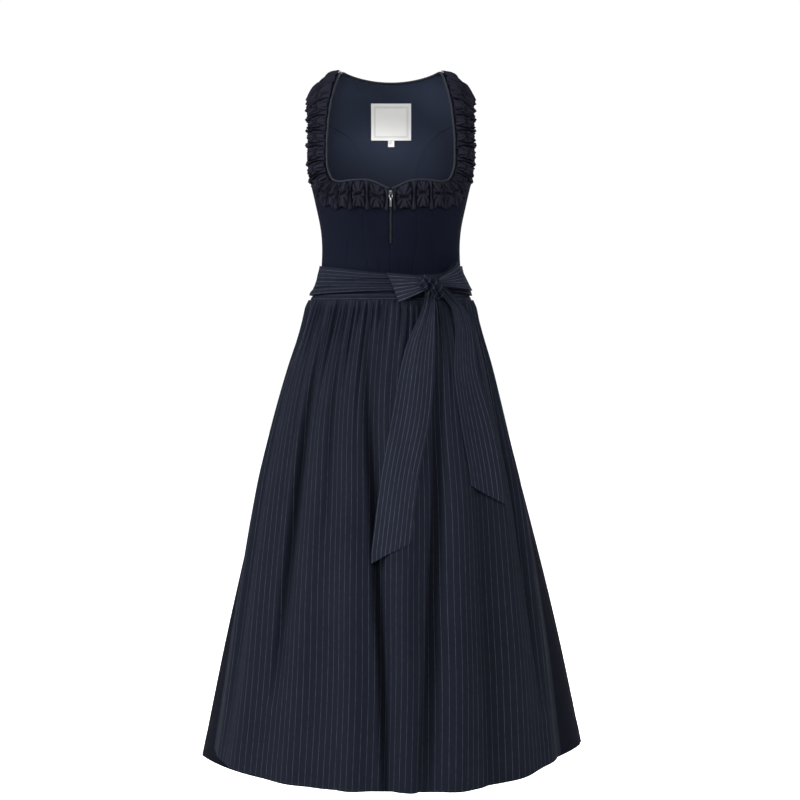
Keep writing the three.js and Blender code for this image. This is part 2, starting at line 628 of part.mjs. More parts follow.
// How far the skirt stands out from the form. Its folds open at the sides and back, where no apron lies
// on it.
function skirtLift(angle, column, drop) {
  const round = angle > Math.PI ? 2 * Math.PI - angle : Math.abs(angle);
  const free = smoothstep(round, degToRad(FREE_FROM.angle), degToRad(FREE_FROM.full));
  const { strengthWaves, wanderWaves, wanderDown } = SKIRT_UNEVENNESS;
  const wander = SKIRT_FOLD.wander * Math.sin(wanderWaves * angle + wanderDown * drop);
  const wave = 0.5 + 0.5 * Math.cos(SKIRT_FOLD.count * angle + wander);
  const strength = 1 - SKIRT_FOLD.uneven * (1 - Math.sin(strengthWaves * angle));
  const fold = SKIRT_FOLD.depth * strength * smoothstep(drop, SKIRT_FOLD.start, SKIRT_FOLD.full);
  const gatherDepth = lerp(GATHER_AT_SEAM, SKIRT_GATHER, smoothstep(drop, 0, SKIRT_DROPS[2]));
  const gather = (column % 2 ? 1 : 0) * gatherFade(drop) * gatherDepth;
  const pressed = UNDER_APRON.gather * gather + UNDER_APRON.lift * smoothstep(drop, 0, SKIRT_DROPS[3]);
  return lerp(pressed, gather + wave * fold, free);
}
function skirtPanel(fromAngle, toAngle, columns) {
  const rows = SKIRT_DROPS.length - 1;
  const top = WAIST - SEAM_GAP;
  const at = (wall) => (i, j) => {
    const drop = SKIRT_DROPS[rows - j];
    const girth = readTable(RINGS, "height", lerp(top, SKIRT_HEM, drop), "halfWidth");
    const inset = (i === 0 ? 1 : 0) - (i === columns ? 1 : 0);
    const angle = lerp(fromAngle, toAngle, i / columns) + (inset * HALF_GAP) / girth;
    return formPoint(angle, lerp(top, skirtHem(angle), drop), skirtLift(angle, i, drop) - wall);
  };
  return clothWall({ columns, rows, outer: at(0), inner: at(SKIRT_WALL) });
}

// The apron hangs in front of the skirt. Its edges swing towards the front on the way down.
const APRON_DROPS = [0, 0.03, 0.065, 0.12, 0.2, 0.31, 0.44, 0.58, 0.72, 0.86, 0.965, 1];
const APRON_EDGES = [
  { z: -428, right: -95, left: 95 },
  { z: -600, right: -86, left: 80 },
  { z: -790, right: -77, left: 72 },
  { z: -948, right: -71.5, left: 66 },
  { z: -1100, right: -67.5, left: 62 },
  { z: -1280, right: -65, left: 58 },
];
// The apron's hem sags in the middle and hangs highest at its two corners.
const APRON_HEM = [
  { share: 0, z: -1250 },
  { share: 0.12, z: -1263 },
  { share: 0.25, z: -1272 },
  { share: 0.5, z: -1272 },
  { share: 0.66, z: -1275 },
  { share: 0.78, z: -1274 },
  { share: 0.88, z: -1263 },
  { share: 1, z: -1250 },
];
const APRON_TOP = -428.6;
const APRON_COLUMNS = 80;
const APRON_CLEARANCE = 3.6;
const APRON_GATHER = 4.5;
const APRON_BODY = [
  { drop: 0, lift: 2.6 },
  { drop: 0.03, lift: 7.5 },
  { drop: 0.1, lift: 11 },
  { drop: 0.3, lift: 15 },
  { drop: 1, lift: 16 },
];
// The larger folds are soft troughs. Each runs from a place at the waist to a place at the hem, as
// shares of the apron's width from the wearer's right, and is deepest at the middle of its length.
const APRON_FOLDS = [
  { waist: 0.09, hem: 0.07, width: 0.022, depth: 0.45, from: 0.05, to: 1 },
  { waist: 0.27, hem: 0.2, width: 0.02, depth: 0.75, from: 0.02, to: 0.75 },
  { waist: 0.36, hem: 0.34, width: 0.018, depth: 0.35, from: 0, to: 0.5 },
  { waist: 0.44, hem: 0.505, width: 0.02, depth: 0.95, from: 0.03, to: 1.2 },
  { waist: 0.55, hem: 0.57, width: 0.016, depth: 0.5, from: 0, to: 0.4 },
  { waist: 0.66, hem: 0.6, width: 0.026, depth: 0.75, from: 0.02, to: 1.1 },
  { waist: 0.76, hem: 0.765, width: 0.03, depth: 0.55, from: 0.25, to: 1.2 },
  { waist: 0.87, hem: 0.93, width: 0.02, depth: 0.8, from: 0, to: 0.9 },
];
// A fold keeps its depth along most of its length, and near its edges the apron lies closer to the skirt.
const FOLD_FULLNESS = 0.6;
const APRON_SIDE = { width: 0.09, lift: 0.3 };
const apronBody = (drop) => readTable(APRON_BODY, "drop", drop, "lift");
function apronLift(share, column, drop) {
  const folds = APRON_FOLDS.reduce((deepest, { waist, hem, width, depth, from, to }) => {
    const length = (drop - from) / (to - from);
    const strength = length > 0 && length < 1 ? Math.sin(Math.PI * length) ** FOLD_FULLNESS : 0;
    return Math.max(deepest, depth * strength * trough(share, lerp(waist, hem, drop), width));
  }, 0);
  const side = lerp(APRON_SIDE.lift, 1, smoothstep(Math.min(share, 1 - share), 0, APRON_SIDE.width));
  const gather = (column % 2 ? 0 : 1) * gatherFade(drop) * APRON_GATHER;
  return APRON_CLEARANCE + Math.max(0, apronBody(drop) * side * (1 - folds) - gather);
}
function apronPanel() {
  const rows = APRON_DROPS.length - 1;
  const at = (wall) => (i, j) => {
    const drop = APRON_DROPS[rows - j];
    const share = i / APRON_COLUMNS;
    const z = lerp(APRON_TOP, readTable(APRON_HEM, "share", share, "z"), drop);
    const right = degToRad(readTable(APRON_EDGES, "z", z, "right"));
    const left = degToRad(readTable(APRON_EDGES, "z", z, "left"));
    return formPoint(lerp(right, left, share), z, apronLift(share, i, drop) + APRON_WALL - wall);
  };
  return clothWall({ columns: APRON_COLUMNS, rows, outer: at(0), inner: at(APRON_WALL) });
}

// The waistband holds the gathers, and the tie goes round the waist over it.
const WAISTBAND = { top: -391, bottom: APRON_TOP + SEAM_GAP, lift: 2.8, wall: 1.2, columns: 28, rows: 3 };
function waistband() {
  const { top, bottom, lift, wall, columns, rows } = WAISTBAND;
  const at = (outLift) => (i, j) => {
    const angle = degToRad(lerp(APRON_EDGES[0].right, APRON_EDGES[0].left, i / columns));
    return formPoint(angle, lerp(bottom, top, j / rows), outLift);
  };
  return clothWall({ columns, rows, outer: at(lift + wall), inner: at(lift) });
}

// The tie's edges round the waist, by angle from the centre front. It is pulled together beside the bow.
const TIE_EDGES = [
  { angle: -180, top: -366, bottom: -420, slack: 3 },
  { angle: -90, top: -365, bottom: -416, slack: 6 },
  { angle: -45, top: -370, bottom: -415, slack: 2.5 },
  { angle: 5, top: -381, bottom: -411, slack: 0.6 },
  { angle: 30, top: -382, bottom: -411, slack: 0 },
  { angle: 60, top: -371, bottom: -414, slack: 1 },
  { angle: 90, top: -365, bottom: -416, slack: 6 },
  { angle: 180, top: -366, bottom: -420, slack: 3 },
];
const TIE = { wall: 1.8, lift: 5, topLift: 2.2, rows: 4, creaseDepth: 0.8, meetsAt: 25, endGap: 0.1 };
const TIE_COLUMNS = { right: 36, left: 27 };
const SLACK_REACH = 0.6;
// Creases run along the tie. `across` is the place from the lower edge to the upper one.
const TIE_CREASES = [
  { from: -60, to: 25, across: 0.72, slant: 0.2, width: 0.14 },
  { from: -100, to: 10, across: 0.3, slant: -0.1, width: 0.12 },
  { from: 40, to: 150, across: 0.55, slant: 0.15, width: 0.14 },
  { from: 150, to: 181, across: 0.4, slant: 0.1, width: 0.14 },
  { from: -181, to: -120, across: 0.62, slant: -0.2, width: 0.14 },
];
function tieWrap(fromDegrees, toDegrees, columns) {
  const at = (wall) => (i, j) => {
    const degrees = lerp(fromDegrees, toDegrees, i / columns);
    const across = j / TIE.rows;
    const top = readTable(TIE_EDGES, "angle", degrees, "top");
    const bottom = readTable(TIE_EDGES, "angle", degrees, "bottom");
    const z = lerp(bottom, top, across);
    const lean = smoothstep(z, WAISTBAND.top, top);
    const slack = readTable(TIE_EDGES, "angle", degrees, "slack") * (1 - smoothstep(across, 0, SLACK_REACH));
    const crease = TIE_CREASES.reduce((sum, { from, to, across: middle, slant, width }) => {
      const along = (degrees - from) / (to - from);
      const inside = along > 0 && along < 1 ? Math.sin(Math.PI * along) : 0;
      return sum + inside * trough(across, middle + slant * (along - 0.5), width);
    }, 0);
    const outer = TIE.wall - TIE.creaseDepth * Math.min(1, crease);
    return formPoint(degToRad(degrees), z, lerp(TIE.lift + slack, TIE.topLift, lean) + (wall ? 0 : outer));
  };
  return clothWall({ columns, rows: TIE.rows, outer: at(0), inner: at(1) });
}

// The knot is a lump of wound ribbon, set aslant over the tie.
const KNOT = { angle: 29, z: -398, lift: 19.5, halfLength: 24, halfWidth: 14.5, halfDepth: 11, slant: -36 };
const KNOT_GROOVES = { count: 5, depth: 0.07 };
const KNOT_FACES = { round: 16, along: 12 };
const knotCentre = formPoint(degToRad(KNOT.angle), KNOT.z, KNOT.lift);
function knot(grow = 0) {
  const sphere = new THREE.SphereGeometry(1, KNOT_FACES.round, KNOT_FACES.along);
  const ball = mergeVertices(sphere.deleteAttribute("normal").deleteAttribute("uv"), WELD);
  const places = ball.getAttribute("position");
  const point = new THREE.Vector3();
  for (let k = 0; k < places.count; k += 1) {
    point.fromBufferAttribute(places, k);
    const groove = 1 - KNOT_GROOVES.depth * (0.5 - 0.5 * Math.cos(KNOT_GROOVES.count * Math.PI * point.y));
    point.set(point.x * groove, point.y, point.z * groove);
    point.multiply(new THREE.Vector3(KNOT.halfWidth + grow, KNOT.halfLength + grow, KNOT.halfDepth + grow));
    places.setXYZ(k, ...point.toArray());
  }
  ball.rotateX(Math.PI / 2).rotateY(Math.PI / 2 - degToRad(KNOT.slant)).rotateZ(degToRad(KNOT.angle));
  return ball.translate(...knotCentre.toArray());
}

// A loop of the bow: the ribbon goes out from the knot, turns at its end and comes back behind itself.
// It is pinched flat at the knot and rounded near its end.
const LOOP = { wall: 1.4, steps: 14, across: 4, endLift: 17, halfDepth: 12.8, reachPower: 0.7 };
const LOOP_PUFF = { pinched: 0.45, rounded: 0.55, fullest: 1.3 };
const LOOPS = {
  right: {
    root: { angle: 27, top: -389, bottom: -404 },
    end: { topAngle: -2, bottomAngle: 4, top: -378, bottom: -433 },
  },
  left: {
    root: { angle: 33, top: -390, bottom: -403 },
    end: { topAngle: 55, bottomAngle: 77, top: -359, bottom: -411 },
  },
};
function bowLoop({ root, end }) {
  const towardsLeft = end.topAngle > root.angle;
  const at = (side) => (i, j) => {
    const across = j / LOOP.across;
    const turn = (Math.PI * i) / LOOP.steps;
    const reach = Math.sin(turn) ** LOOP.reachPower;
    const endAngle = lerp(end.bottomAngle, end.topAngle, across);
    const angle = degToRad(lerp(root.angle, endAngle, reach));
    const height = lerp(lerp(root.bottom, root.top, across), lerp(end.bottom, end.top, across), reach);
    const puff = LOOP_PUFF.pinched + LOOP_PUFF.rounded * reach ** 2 * (LOOP_PUFF.fullest - reach);
    const middle = lerp(KNOT.lift, LOOP.endLift, reach);
    const fold = (LOOP.halfDepth * puff - side * LOOP.wall) * Math.cos(turn);
    const shrink = (side * LOOP.wall * Math.sin(turn)) / GIRTH;
    return formPoint(angle - (towardsLeft ? shrink : -shrink), height, middle + fold);
  };
  const [outer, inner] = towardsLeft ? [at(0), at(1)] : [at(1), at(0)];
  return clothWall({ columns: LOOP.steps, rows: LOOP.across, outer, inner });
}

// The tails hang from the knot over the apron. Each row gives the two edges of the ribbon, seen from the
// front.
const TAILS = {
  long: [
    { z: -404, right: 58, left: 74 },
    { z: -440, right: 55, left: 75 },
    { z: -516, right: 25, left: 74 },
    { z: -637, right: 2, left: 67 },
    { z: -745, right: -16, left: 46 },
    { z: -872, right: -31, left: 32 },
  ],
  short: [
    { z: -404, right: 72, left: 88 },
    { z: -450, right: 104, left: 126 },
    { z: -562, right: 104, left: 144 },
    { z: -658, right: 115, left: 167 },
    { z: -723, right: 126, left: 178 },
    { z: -778, right: 133, left: 185 },
  ],
};
const TAIL = { wall: 1.4, gap: 0.6, rows: 12, columns: 4, point: 19, pointFrom: 0.5 };
const TAIL_RIPPLE = { depth: 1.6, from: 0.1, to: 0.6 };
const TAIL_ROOT = { from: -455, to: -405 };
function tail(table, pointsRight) {
  const { rows, columns, wall } = TAIL;
  const top = table[0].z;
  const bottom = table[table.length - 1].z;
  const at = (out) => (i, j) => {
    const across = i / columns;
    const down = 1 - j / rows;
    const slope = pointsRight ? 1 - 2 * across : 2 * across - 1;
    const z = lerp(top, bottom, down) - TAIL.point * slope * smoothstep(down, TAIL.pointFrom, 1);
    const tableZ = clamp(z, bottom, top);
    const x = lerp(readTable(table, "z", tableZ, "right"), readTable(table, "z", tableZ, "left"), across);
    const apronDrop = clamp((APRON_TOP - z) / (APRON_TOP - SKIRT_HEM), 0, 1);
    const rest = APRON_CLEARANCE + apronBody(apronDrop) + APRON_WALL + TAIL.gap;
    const nearKnot = smoothstep(z, TAIL_ROOT.from, TAIL_ROOT.to);
    const wave = TAIL_RIPPLE.depth * (0.5 + 0.5 * Math.cos(2 * Math.PI * across));
    const ripple = wave * (1 - smoothstep(down, TAIL_RIPPLE.from, TAIL_RIPPLE.to));
    const { angle, height } = frontPlace(x, z);
    return formPoint(angle, height, lerp(rest, KNOT.lift, nearKnot) + ripple + out);
  };
  return clothWall({ columns, rows, outer: at(wall), inner: at(0) });
}

const wasm = await Module();
wasm.setup();

function solidOf(geometry) {
  const bare = geometry.clone();
  bare.deleteAttribute("normal");
  bare.deleteAttribute("uv");
  const merged = mergeVertices(bare, WELD);
  return new wasm.Manifold(
    new wasm.Mesh({
      numProp: 3,
      vertProperties: merged.getAttribute("position").array,
      triVerts: new Uint32Array(merged.index.array),
    }),
  );
}
function geometryOf(solid) {
  const mesh = solid.getMesh();
  const geometry = new THREE.BufferGeometry();
  geometry.setAttribute("position", new THREE.Float32BufferAttribute(mesh.vertProperties, 3));
  return geometry.setIndex(Array.from(mesh.triVerts));
}
function joined(geometries) {
  return geometryOf(geometries.map(solidOf).reduce((sum, solid) => sum.add(solid)));
}

// Ribbon that goes into the knot is cut off just outside it. The largest piece left is the one that shows.
function clearOfKnot(geometry) {
  const pieces = solidOf(geometry).subtract(solidOf(knot(SEAM_GAP))).decompose();
  return geometryOf(pieces.reduce((best, piece) => (piece.volume() > best.volume() ? piece : best)));
}

const cloth = (color, roughness) => new THREE.MeshStandardMaterial({ color, roughness, metalness: 0 });
const MATERIALS = {
  bodice: cloth("#1d2031", 0.95),
  skirt: cloth("#171923", 0.92),
  apron: cloth("#2a303e", 0.7),
  frill: cloth("#23242f", 0.9),
  piping: cloth("#2c303b", 0.7),
  zip: cloth("#1b1d24", 0.8),
  label: cloth("#e6e3dc", 0.8),
  metal: new THREE.MeshStandardMaterial({ color: "#a9a9ab", roughness: 0.35, metalness: 1 }),
};

const dirndl = new THREE.Group();
function add(name, geometry, material) {
  const mesh = new THREE.Mesh(geometry, MATERIALS[material]);
  mesh.name = name;
  dirndl.add(mesh);
}
function addPair(name, geometry, material) {
  add(`${name}_left`, geometry, material);
  add(`${name}_right`, mirrored(geometry), material);
}

addPair("centre_front", centreFrontPanel(), "bodice");
addPair("side_front", sideFrontPanel(), "bodice");
addPair("side_back", sideBackPanel(), "bodice");
add("centre_back", centreBackPanel(), "bodice");
addPair("neck_frill", frillHalf(), "frill");
add("neck_piping", neckPiping(), "piping");
add("zip_tape", zipTape(), "zip");
add("zip_chain", zipChain(), "zip");
add("zip_slider", zipSlider(), "metal");
add("zip_pull", zipPull(), "metal");
add("label", label(), "label");
add("size_tab", sizeTab(), "label");
const QUARTER = Math.PI / 2;
add("skirt_front", skirtPanel(-QUARTER, QUARTER, SKIRT_COLUMNS.front), "skirt");
add("skirt_back_left", skirtPanel(QUARTER, 2 * QUARTER, SKIRT_COLUMNS.back), "skirt");
add("skirt_back_right", skirtPanel(2 * QUARTER, 3 * QUARTER, SKIRT_COLUMNS.back), "skirt");
add("apron_panel", apronPanel(), "apron");
add("apron_waistband", waistband(), "apron");
add("tie_right", tieWrap(-180 + TIE.endGap, TIE.meetsAt - TIE.endGap, TIE_COLUMNS.right), "apron");
add("tie_left", tieWrap(TIE.meetsAt + TIE.endGap, 180 - TIE.endGap, TIE_COLUMNS.left), "apron");
add("bow_knot", knot(), "apron");
add("bow_loop_right", clearOfKnot(bowLoop(LOOPS.right)), "apron");
add("bow_loop_left", clearOfKnot(bowLoop(LOOPS.left)), "apron");
add("tie_tail_long", clearOfKnot(tail(TAILS.long, true)), "apron");
add("tie_tail_short", clearOfKnot(tail(TAILS.short, false)), "apron");

export default dirndl;
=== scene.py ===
import math

import bmesh
import bpy
import numpy as np
from mathutils import Matrix, Vector


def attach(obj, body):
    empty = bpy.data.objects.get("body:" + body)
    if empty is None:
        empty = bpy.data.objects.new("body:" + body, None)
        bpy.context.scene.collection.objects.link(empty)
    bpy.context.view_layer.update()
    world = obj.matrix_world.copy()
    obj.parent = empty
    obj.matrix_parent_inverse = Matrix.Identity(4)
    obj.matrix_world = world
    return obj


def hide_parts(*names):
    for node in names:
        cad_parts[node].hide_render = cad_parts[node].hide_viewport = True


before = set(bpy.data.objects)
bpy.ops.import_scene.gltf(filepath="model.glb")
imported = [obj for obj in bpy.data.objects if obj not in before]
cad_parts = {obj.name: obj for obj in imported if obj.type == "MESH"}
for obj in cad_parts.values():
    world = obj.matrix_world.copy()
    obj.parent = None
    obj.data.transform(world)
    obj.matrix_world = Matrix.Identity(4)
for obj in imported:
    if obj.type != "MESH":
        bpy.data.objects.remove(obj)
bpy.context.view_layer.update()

# The studio. The dress is filled out with no wearer, so it hangs clear of a white floor. The backdrop is
# white behind it and grey elsewhere. A strong soft light stands on its right, weaker ones before it and on
# its left, and a large one behind it.
CAMERA_PLACE = (0.017, -3.4, -0.45)
CAMERA_TILT = math.radians(-2.8)
CAMERA_LENS = 81.4
FLOOR_HEIGHT = -1.62
FLOOR_HALF = 14.0
STUDIO_GREY, STUDIO_WHITE = 0.34, 1.02
# Cosines of the angle from straight behind, between which the backdrop turns from grey to white.
BACKING_EDGE = (0.86, 0.935)
# Metres behind the dress between which the floor turns white too.
WHITE_FLOOR_FROM = (0.2, 0.8)
LIGHT_TARGET = (0, 0, -0.6)


def aim(thing, target):
    thing.rotation_euler = (Vector(target) - thing.location).to_track_quat("-Z", "Y").to_euler()


camera = bpy.data.objects.new("camera", bpy.data.cameras.new("camera"))
camera.location = CAMERA_PLACE
camera.rotation_euler = (math.pi / 2 + CAMERA_TILT, 0, 0)
camera.data.lens = CAMERA_LENS
camera.data.clip_end = 60
bpy.context.collection.objects.link(camera)
bpy.context.scene.camera = camera
bpy.context.scene.view_settings.view_transform = "Standard"

world = bpy.data.worlds.new("white_studio")
world.use_nodes = True
studio = world.node_tree.nodes
backdrop = studio["Background"]
direction = studio.new("ShaderNodeTexCoord")
separate = studio.new("ShaderNodeSeparateXYZ")
backing = studio.new("ShaderNodeMapRange")
edges = {
    "From Min": BACKING_EDGE[0],
    "From Max": BACKING_EDGE[1],
    "To Min": STUDIO_GREY,
    "To Max": STUDIO_WHITE,
}
for socket, value in edges.items():
    backing.inputs[socket].default_value = value
world.node_tree.links.new(direction.outputs["Generated"], separate.inputs[0])
world.node_tree.links.new(separate.outputs["Y"], backing.inputs["Value"])
world.node_tree.links.new(backing.outputs[0], backdrop.inputs["Color"])
bpy.context.scene.world = world


def soft_light(name, place, size, power):
    light = bpy.data.lights.new(name, "AREA")
    light.shape = "DISK"
    light.size = size
    light.energy = power
    lamp = bpy.data.objects.new(name, light)
    lamp.location = place
    aim(lamp, LIGHT_TARGET)
    bpy.context.collection.objects.link(lamp)


soft_light("key_light", (-2.2, -1.1, 0.6), size=0.8, power=72)
soft_light("front_light", (0.1, -2.4, 0.85), size=1.0, power=38)
soft_light("fill_light", (2.5, -1.0, 0.5), size=1.0, power=22)
soft_light("back_light", (0.8, 3.0, 1.2), size=2.0, power=150)


class Wire:
    """A shader value. Python's operators on it add the Math nodes that work them out."""

    def __init__(self, finish, socket):
        self.finish, self.socket = finish, socket

    def maths(self, operation, *values):
        settings = {"operation": operation}
        return self.finish.node("ShaderNodeMath", settings, dict(enumerate(values)))

    def __add__(self, other):
        return self.maths("ADD", self, other)

    def __sub__(self, other):
        return self.maths("SUBTRACT", self, other)

    def __rsub__(self, other):
        return self.maths("SUBTRACT", other, self)

    def __mul__(self, other):
        return self.maths("MULTIPLY", self, other)

    __radd__ = __add__
    __rmul__ = __mul__

    def fraction(self):
        return self.maths("FRACT", self)

    def size(self):
        return self.maths("ABSOLUTE", self)

    def wave(self):
        return self.maths("SINE", self)

    def between(self, low, high):
        """0 below low, 1 above high and a straight ramp from one to the other."""
        sockets = {"Value": self, "From Min": low, "From Max": high}
        return self.finish.node("ShaderNodeMapRange", {"clamp": True}, sockets)


class Finish:
    """A material of one surface of the dress, with the nodes that vary it."""

    def __init__(self, name, roughness, specular=0.5, metallic=0.0):
        self.material = bpy.data.materials.new(name)
        self.material.use_nodes = True
        self.surface = self.material.node_tree.nodes["Principled BSDF"]
        constants = {
            "Roughness": roughness,
            "Specular IOR Level": specular,
            "Metallic": metallic,
        }
        for socket, value in constants.items():
            self.surface.inputs[socket].default_value = value
        self.object_place = self.node("ShaderNodeTexCoord", output="Object")

    def node(self, kind, settings=None, sockets=None, output=0):
        made = self.material.node_tree.nodes.new(kind)
        for name, value in (settings or {}).items():
            setattr(made, name, value)
        for key, value in (sockets or {}).items():
            self.join(value, made.inputs[key])
        return Wire(self, made.outputs[output])

    def join(self, value, socket):
        if isinstance(value, Wire):
            self.material.node_tree.links.new(value.socket, socket)
        else:
            socket.default_value = value

    def axis(self, vector, number):
        """One value of a vector: 0, 1 or 2 for x, y or z."""
        return self.node("ShaderNodeSeparateXYZ", sockets={0: vector}, output=number)

    def cloth_place(self):
        """Metres across and along the cloth, from its UV map."""
        uv = self.node("ShaderNodeUVMap", {"uv_map": "cloth"})
        return self.axis(uv, 0), self.axis(uv, 1)

    def noise(self, scale, detail=3.0):
        sockets = {"Vector": self.object_place, "Scale": scale, "Detail": detail}
        return self.node("ShaderNodeTexNoise", sockets=sockets)

    def mixed(self, factor, plain, other):
        colours = {0: factor, 6: (*plain, 1) if isinstance(plain, tuple) else plain}
        colours[7] = (*other, 1) if isinstance(other, tuple) else other
        return self.node("ShaderNodeMix", {"data_type": "RGBA"}, colours, output=2)

    def coloured(self, colour):
        self.join(colour, self.surface.inputs["Base Color"])

    def bumped(self, height, distance):
        sockets = {"Height": height, "Distance": distance, "Strength": 1.0}
        self.join(self.node("ShaderNodeBump", sockets=sockets), self.surface.inputs["Normal"])


white_paint = Finish("white_floor_paint", 0.95, specular=0.1)
white_paint.coloured(white_paint.mixed(white_paint.noise(1.5), (0.86, 0.86, 0.86), (0.90, 0.90, 0.90)))
floor_x = white_paint.axis(white_paint.object_place, 0)
floor_y = white_paint.axis(white_paint.object_place, 1)
beyond = floor_y - CAMERA_PLACE[1]
reach = floor_x.maths("SQRT", floor_x * floor_x + beyond * beyond)
behind = beyond.maths("DIVIDE", beyond, reach).between(*BACKING_EDGE) * floor_y.between(*WHITE_FLOOR_FROM)
lit = white_paint.mixed(behind, (0, 0, 0), (1, 1, 1))
white_paint.join(lit, white_paint.surface.inputs["Emission Color"])
white_paint.surface.inputs["Emission Strength"].default_value = 1.0
ground = bmesh.new()
bmesh.ops.create_grid(ground, x_segments=1, y_segments=1, size=FLOOR_HALF)
bmesh.ops.translate(ground, verts=ground.verts, vec=(0, 0, FLOOR_HEIGHT))
floor_mesh = bpy.data.meshes.new("floor")
ground.to_mesh(floor_mesh)
ground.free()
floor_mesh.materials.append(white_paint.material)
floor = bpy.data.objects.new("floor", floor_mesh)
bpy.context.collection.objects.link(floor)

# The form that the dress keeps: ovals from the chest down to the hem, closed over the shoulders by an arch,
# with the bust that the princess seams shape. Cloth is laid on it. All its sizes are in millimetres.
MM = 0.001
WAIST = -400
UNDERARM = -200
# How far cloth stops short of the waist and shoulder seams, and how far it runs past the upright ones.
SEAM_GAP = 0.3
SEAM_LAP = 0.2


def table(columns, *rows):
    """A short table with named columns."""
    return dict(zip(columns.split(), np.array(rows, float).T))


def each_row(rows):
    """A table's rows, for a loop that takes each one apart."""
    return np.stack(list(rows.values()), axis=-1)


RINGS = table(
    "height half_width front back centre_x power",
    (-130, 168, 92, 98, 0, 0.87),
    (-165, 163, 101, 99, 0, 0.87),
    (-200, 153, 108, 97, 0, 0.87),
    (-250, 141, 111, 92, 0, 0.87),
    (-300, 131, 104, 85, 0, 0.87),
    (-345, 129, 95, 80, 0, 0.87),
    (-400, 134, 90, 82, 0, 0.87),
    (-432, 144, 98, 92, 0, 0.88),
    (-485, 160, 114, 112, 0, 0.89),
    (-560, 184, 138, 140, 0, 0.92),
    (-673, 216, 170, 176, 0, 0.96),
    (-824, 256, 212, 220, 1, 1.01),
    (-1052, 311, 268, 276, 3, 1.07),
    (-1300, 363, 322, 330, 4, 1.11),
)
ARCH_BASE, ARCH_RUN = -130, 196
ARCH_TOP = ARCH_BASE + ARCH_RUN
SHOULDER_CROWN, SHOULDER_FALL, SHOULDER_END = 5.5, 57.5, 150
BUST_X, BUST_HEIGHT, BUST_RISE, BUST_SPREAD_X, BUST_SPREAD_Z = 80, -252, 12, 46, 44
GIRTH = 150
rng = np.random.default_rng(11)


def lerp(a, b, t):
    return a + (b - a) * t


def smoothstep(value, low, high):
    t = np.clip((value - low) / (high - low), 0, 1)
    return t * t * (3 - 2 * t)


def trough(at, middle, width):
    return np.exp(-(((at - middle) / width) ** 2))


def signed_power(value, power):
    return np.sign(value) * np.abs(value) ** power


def read(rows, along, column, at):
    """Reads a column of a table between its rows, along a smooth curve."""
    keys, values = rows[along], rows[column]
    if keys[0] > keys[-1]:
        keys, values = keys[::-1], values[::-1]
    order = np.arange(len(keys))
    before, after = np.maximum(order - 1, 0), np.minimum(order + 1, len(keys) - 1)
    slopes = (values[after] - values[before]) / (keys[after] - keys[before])
    k = np.clip(np.searchsorted(keys, at) - 1, 0, len(keys) - 2)
    span = keys[k + 1] - keys[k]
    t = np.clip((at - keys[k]) / span, 0, 1)
    from_start = (1 + 2 * t) * (1 - t) ** 2 * values[k] + t * (1 - t) ** 2 * span * slopes[k]
    from_end = t * t * (3 - 2 * t) * values[k + 1] + t * t * (t - 1) * span * slopes[k + 1]
    return from_start + from_end


def shoulder_line(x):
    return SHOULDER_CROWN - SHOULDER_FALL * np.abs(x / SHOULDER_END) ** 4


def form_surface(angle, height):
    """The form's surface. The angle goes from the front over the wearer's left to the back."""
    level = np.minimum(height, ARCH_BASE)
    power = read(RINGS, "height", "power", level)
    rise = np.maximum(0, height - ARCH_BASE) / ARCH_RUN * (math.pi / 2)
    half_width = read(RINGS, "height", "half_width", level)
    x = read(RINGS, "height", "centre_x", level) + half_width * signed_power(np.sin(angle), power)
    z = np.where(rise > 0, ARCH_BASE + (shoulder_line(x) - ARCH_BASE) * np.sin(rise), height)
    to_front = np.cos(angle)
    front, back = read(RINGS, "height", "front", level), read(RINGS, "height", "back", level)
    depth = np.where(to_front > 0, front, back) * signed_power(to_front, power)
    away = ((np.abs(x) - BUST_X) / BUST_SPREAD_X) ** 2 + ((z - BUST_HEIGHT) / BUST_SPREAD_Z) ** 2
    bust = np.where(to_front > 0, BUST_RISE * np.exp(-away), 0)
    return np.stack([x, -(depth * np.cos(rise) + bust), z], axis=-1)


def unit(vectors):
    return vectors / np.linalg.norm(vectors, axis=-1, keepdims=True)


ANGLE_STEP, HEIGHT_STEP, LEVEL_RANGE = 0.02, 2, 25


def form_normal(angle, height):
    """The outward direction of the form, level at the waist and below so that hems stay level."""
    around = form_surface(angle + ANGLE_STEP, height) - form_surface(angle - ANGLE_STEP, height)
    up = form_surface(angle, height + HEIGHT_STEP) - form_surface(angle, height - HEIGHT_STEP)
    out = unit(np.cross(around, up))
    out[..., 2] *= np.clip((height - WAIST) / LEVEL_RANGE, 0, 1)
    return unit(out)


def form_point(place, lift):
    angle, height = np.broadcast_arrays(*place)
    lift = np.broadcast_to(lift, angle.shape)
    return form_surface(angle, height) + form_normal(angle, height) * lift[..., None]


def front_place(x, z):
    """The place on the form, as angle and height, of a point seen from the front at x and z."""
    x, z = np.broadcast_arrays(np.asarray(x, float), np.asarray(z, float))
    arch = np.clip((z - ARCH_BASE) / (shoulder_line(x) - ARCH_BASE), 0, 1)
    height = np.where(z <= ARCH_BASE, z, ARCH_BASE + np.arcsin(arch) / (math.pi / 2) * ARCH_RUN)
    level = np.minimum(height, ARCH_BASE)
    half_width = read(RINGS, "height", "half_width", level)
    share = np.clip((x - read(RINGS, "height", "centre_x", level)) / half_width, -1, 1)
    return np.arcsin(signed_power(share, 1 / read(RINGS, "height", "power", level))), height


def back_place(x, z):
    angle, height = front_place(x, z)
    return math.pi - angle, height


def mix_places(a, b, t):
    return lerp(a[0], b[0], t), lerp(a[1], b[1], t)


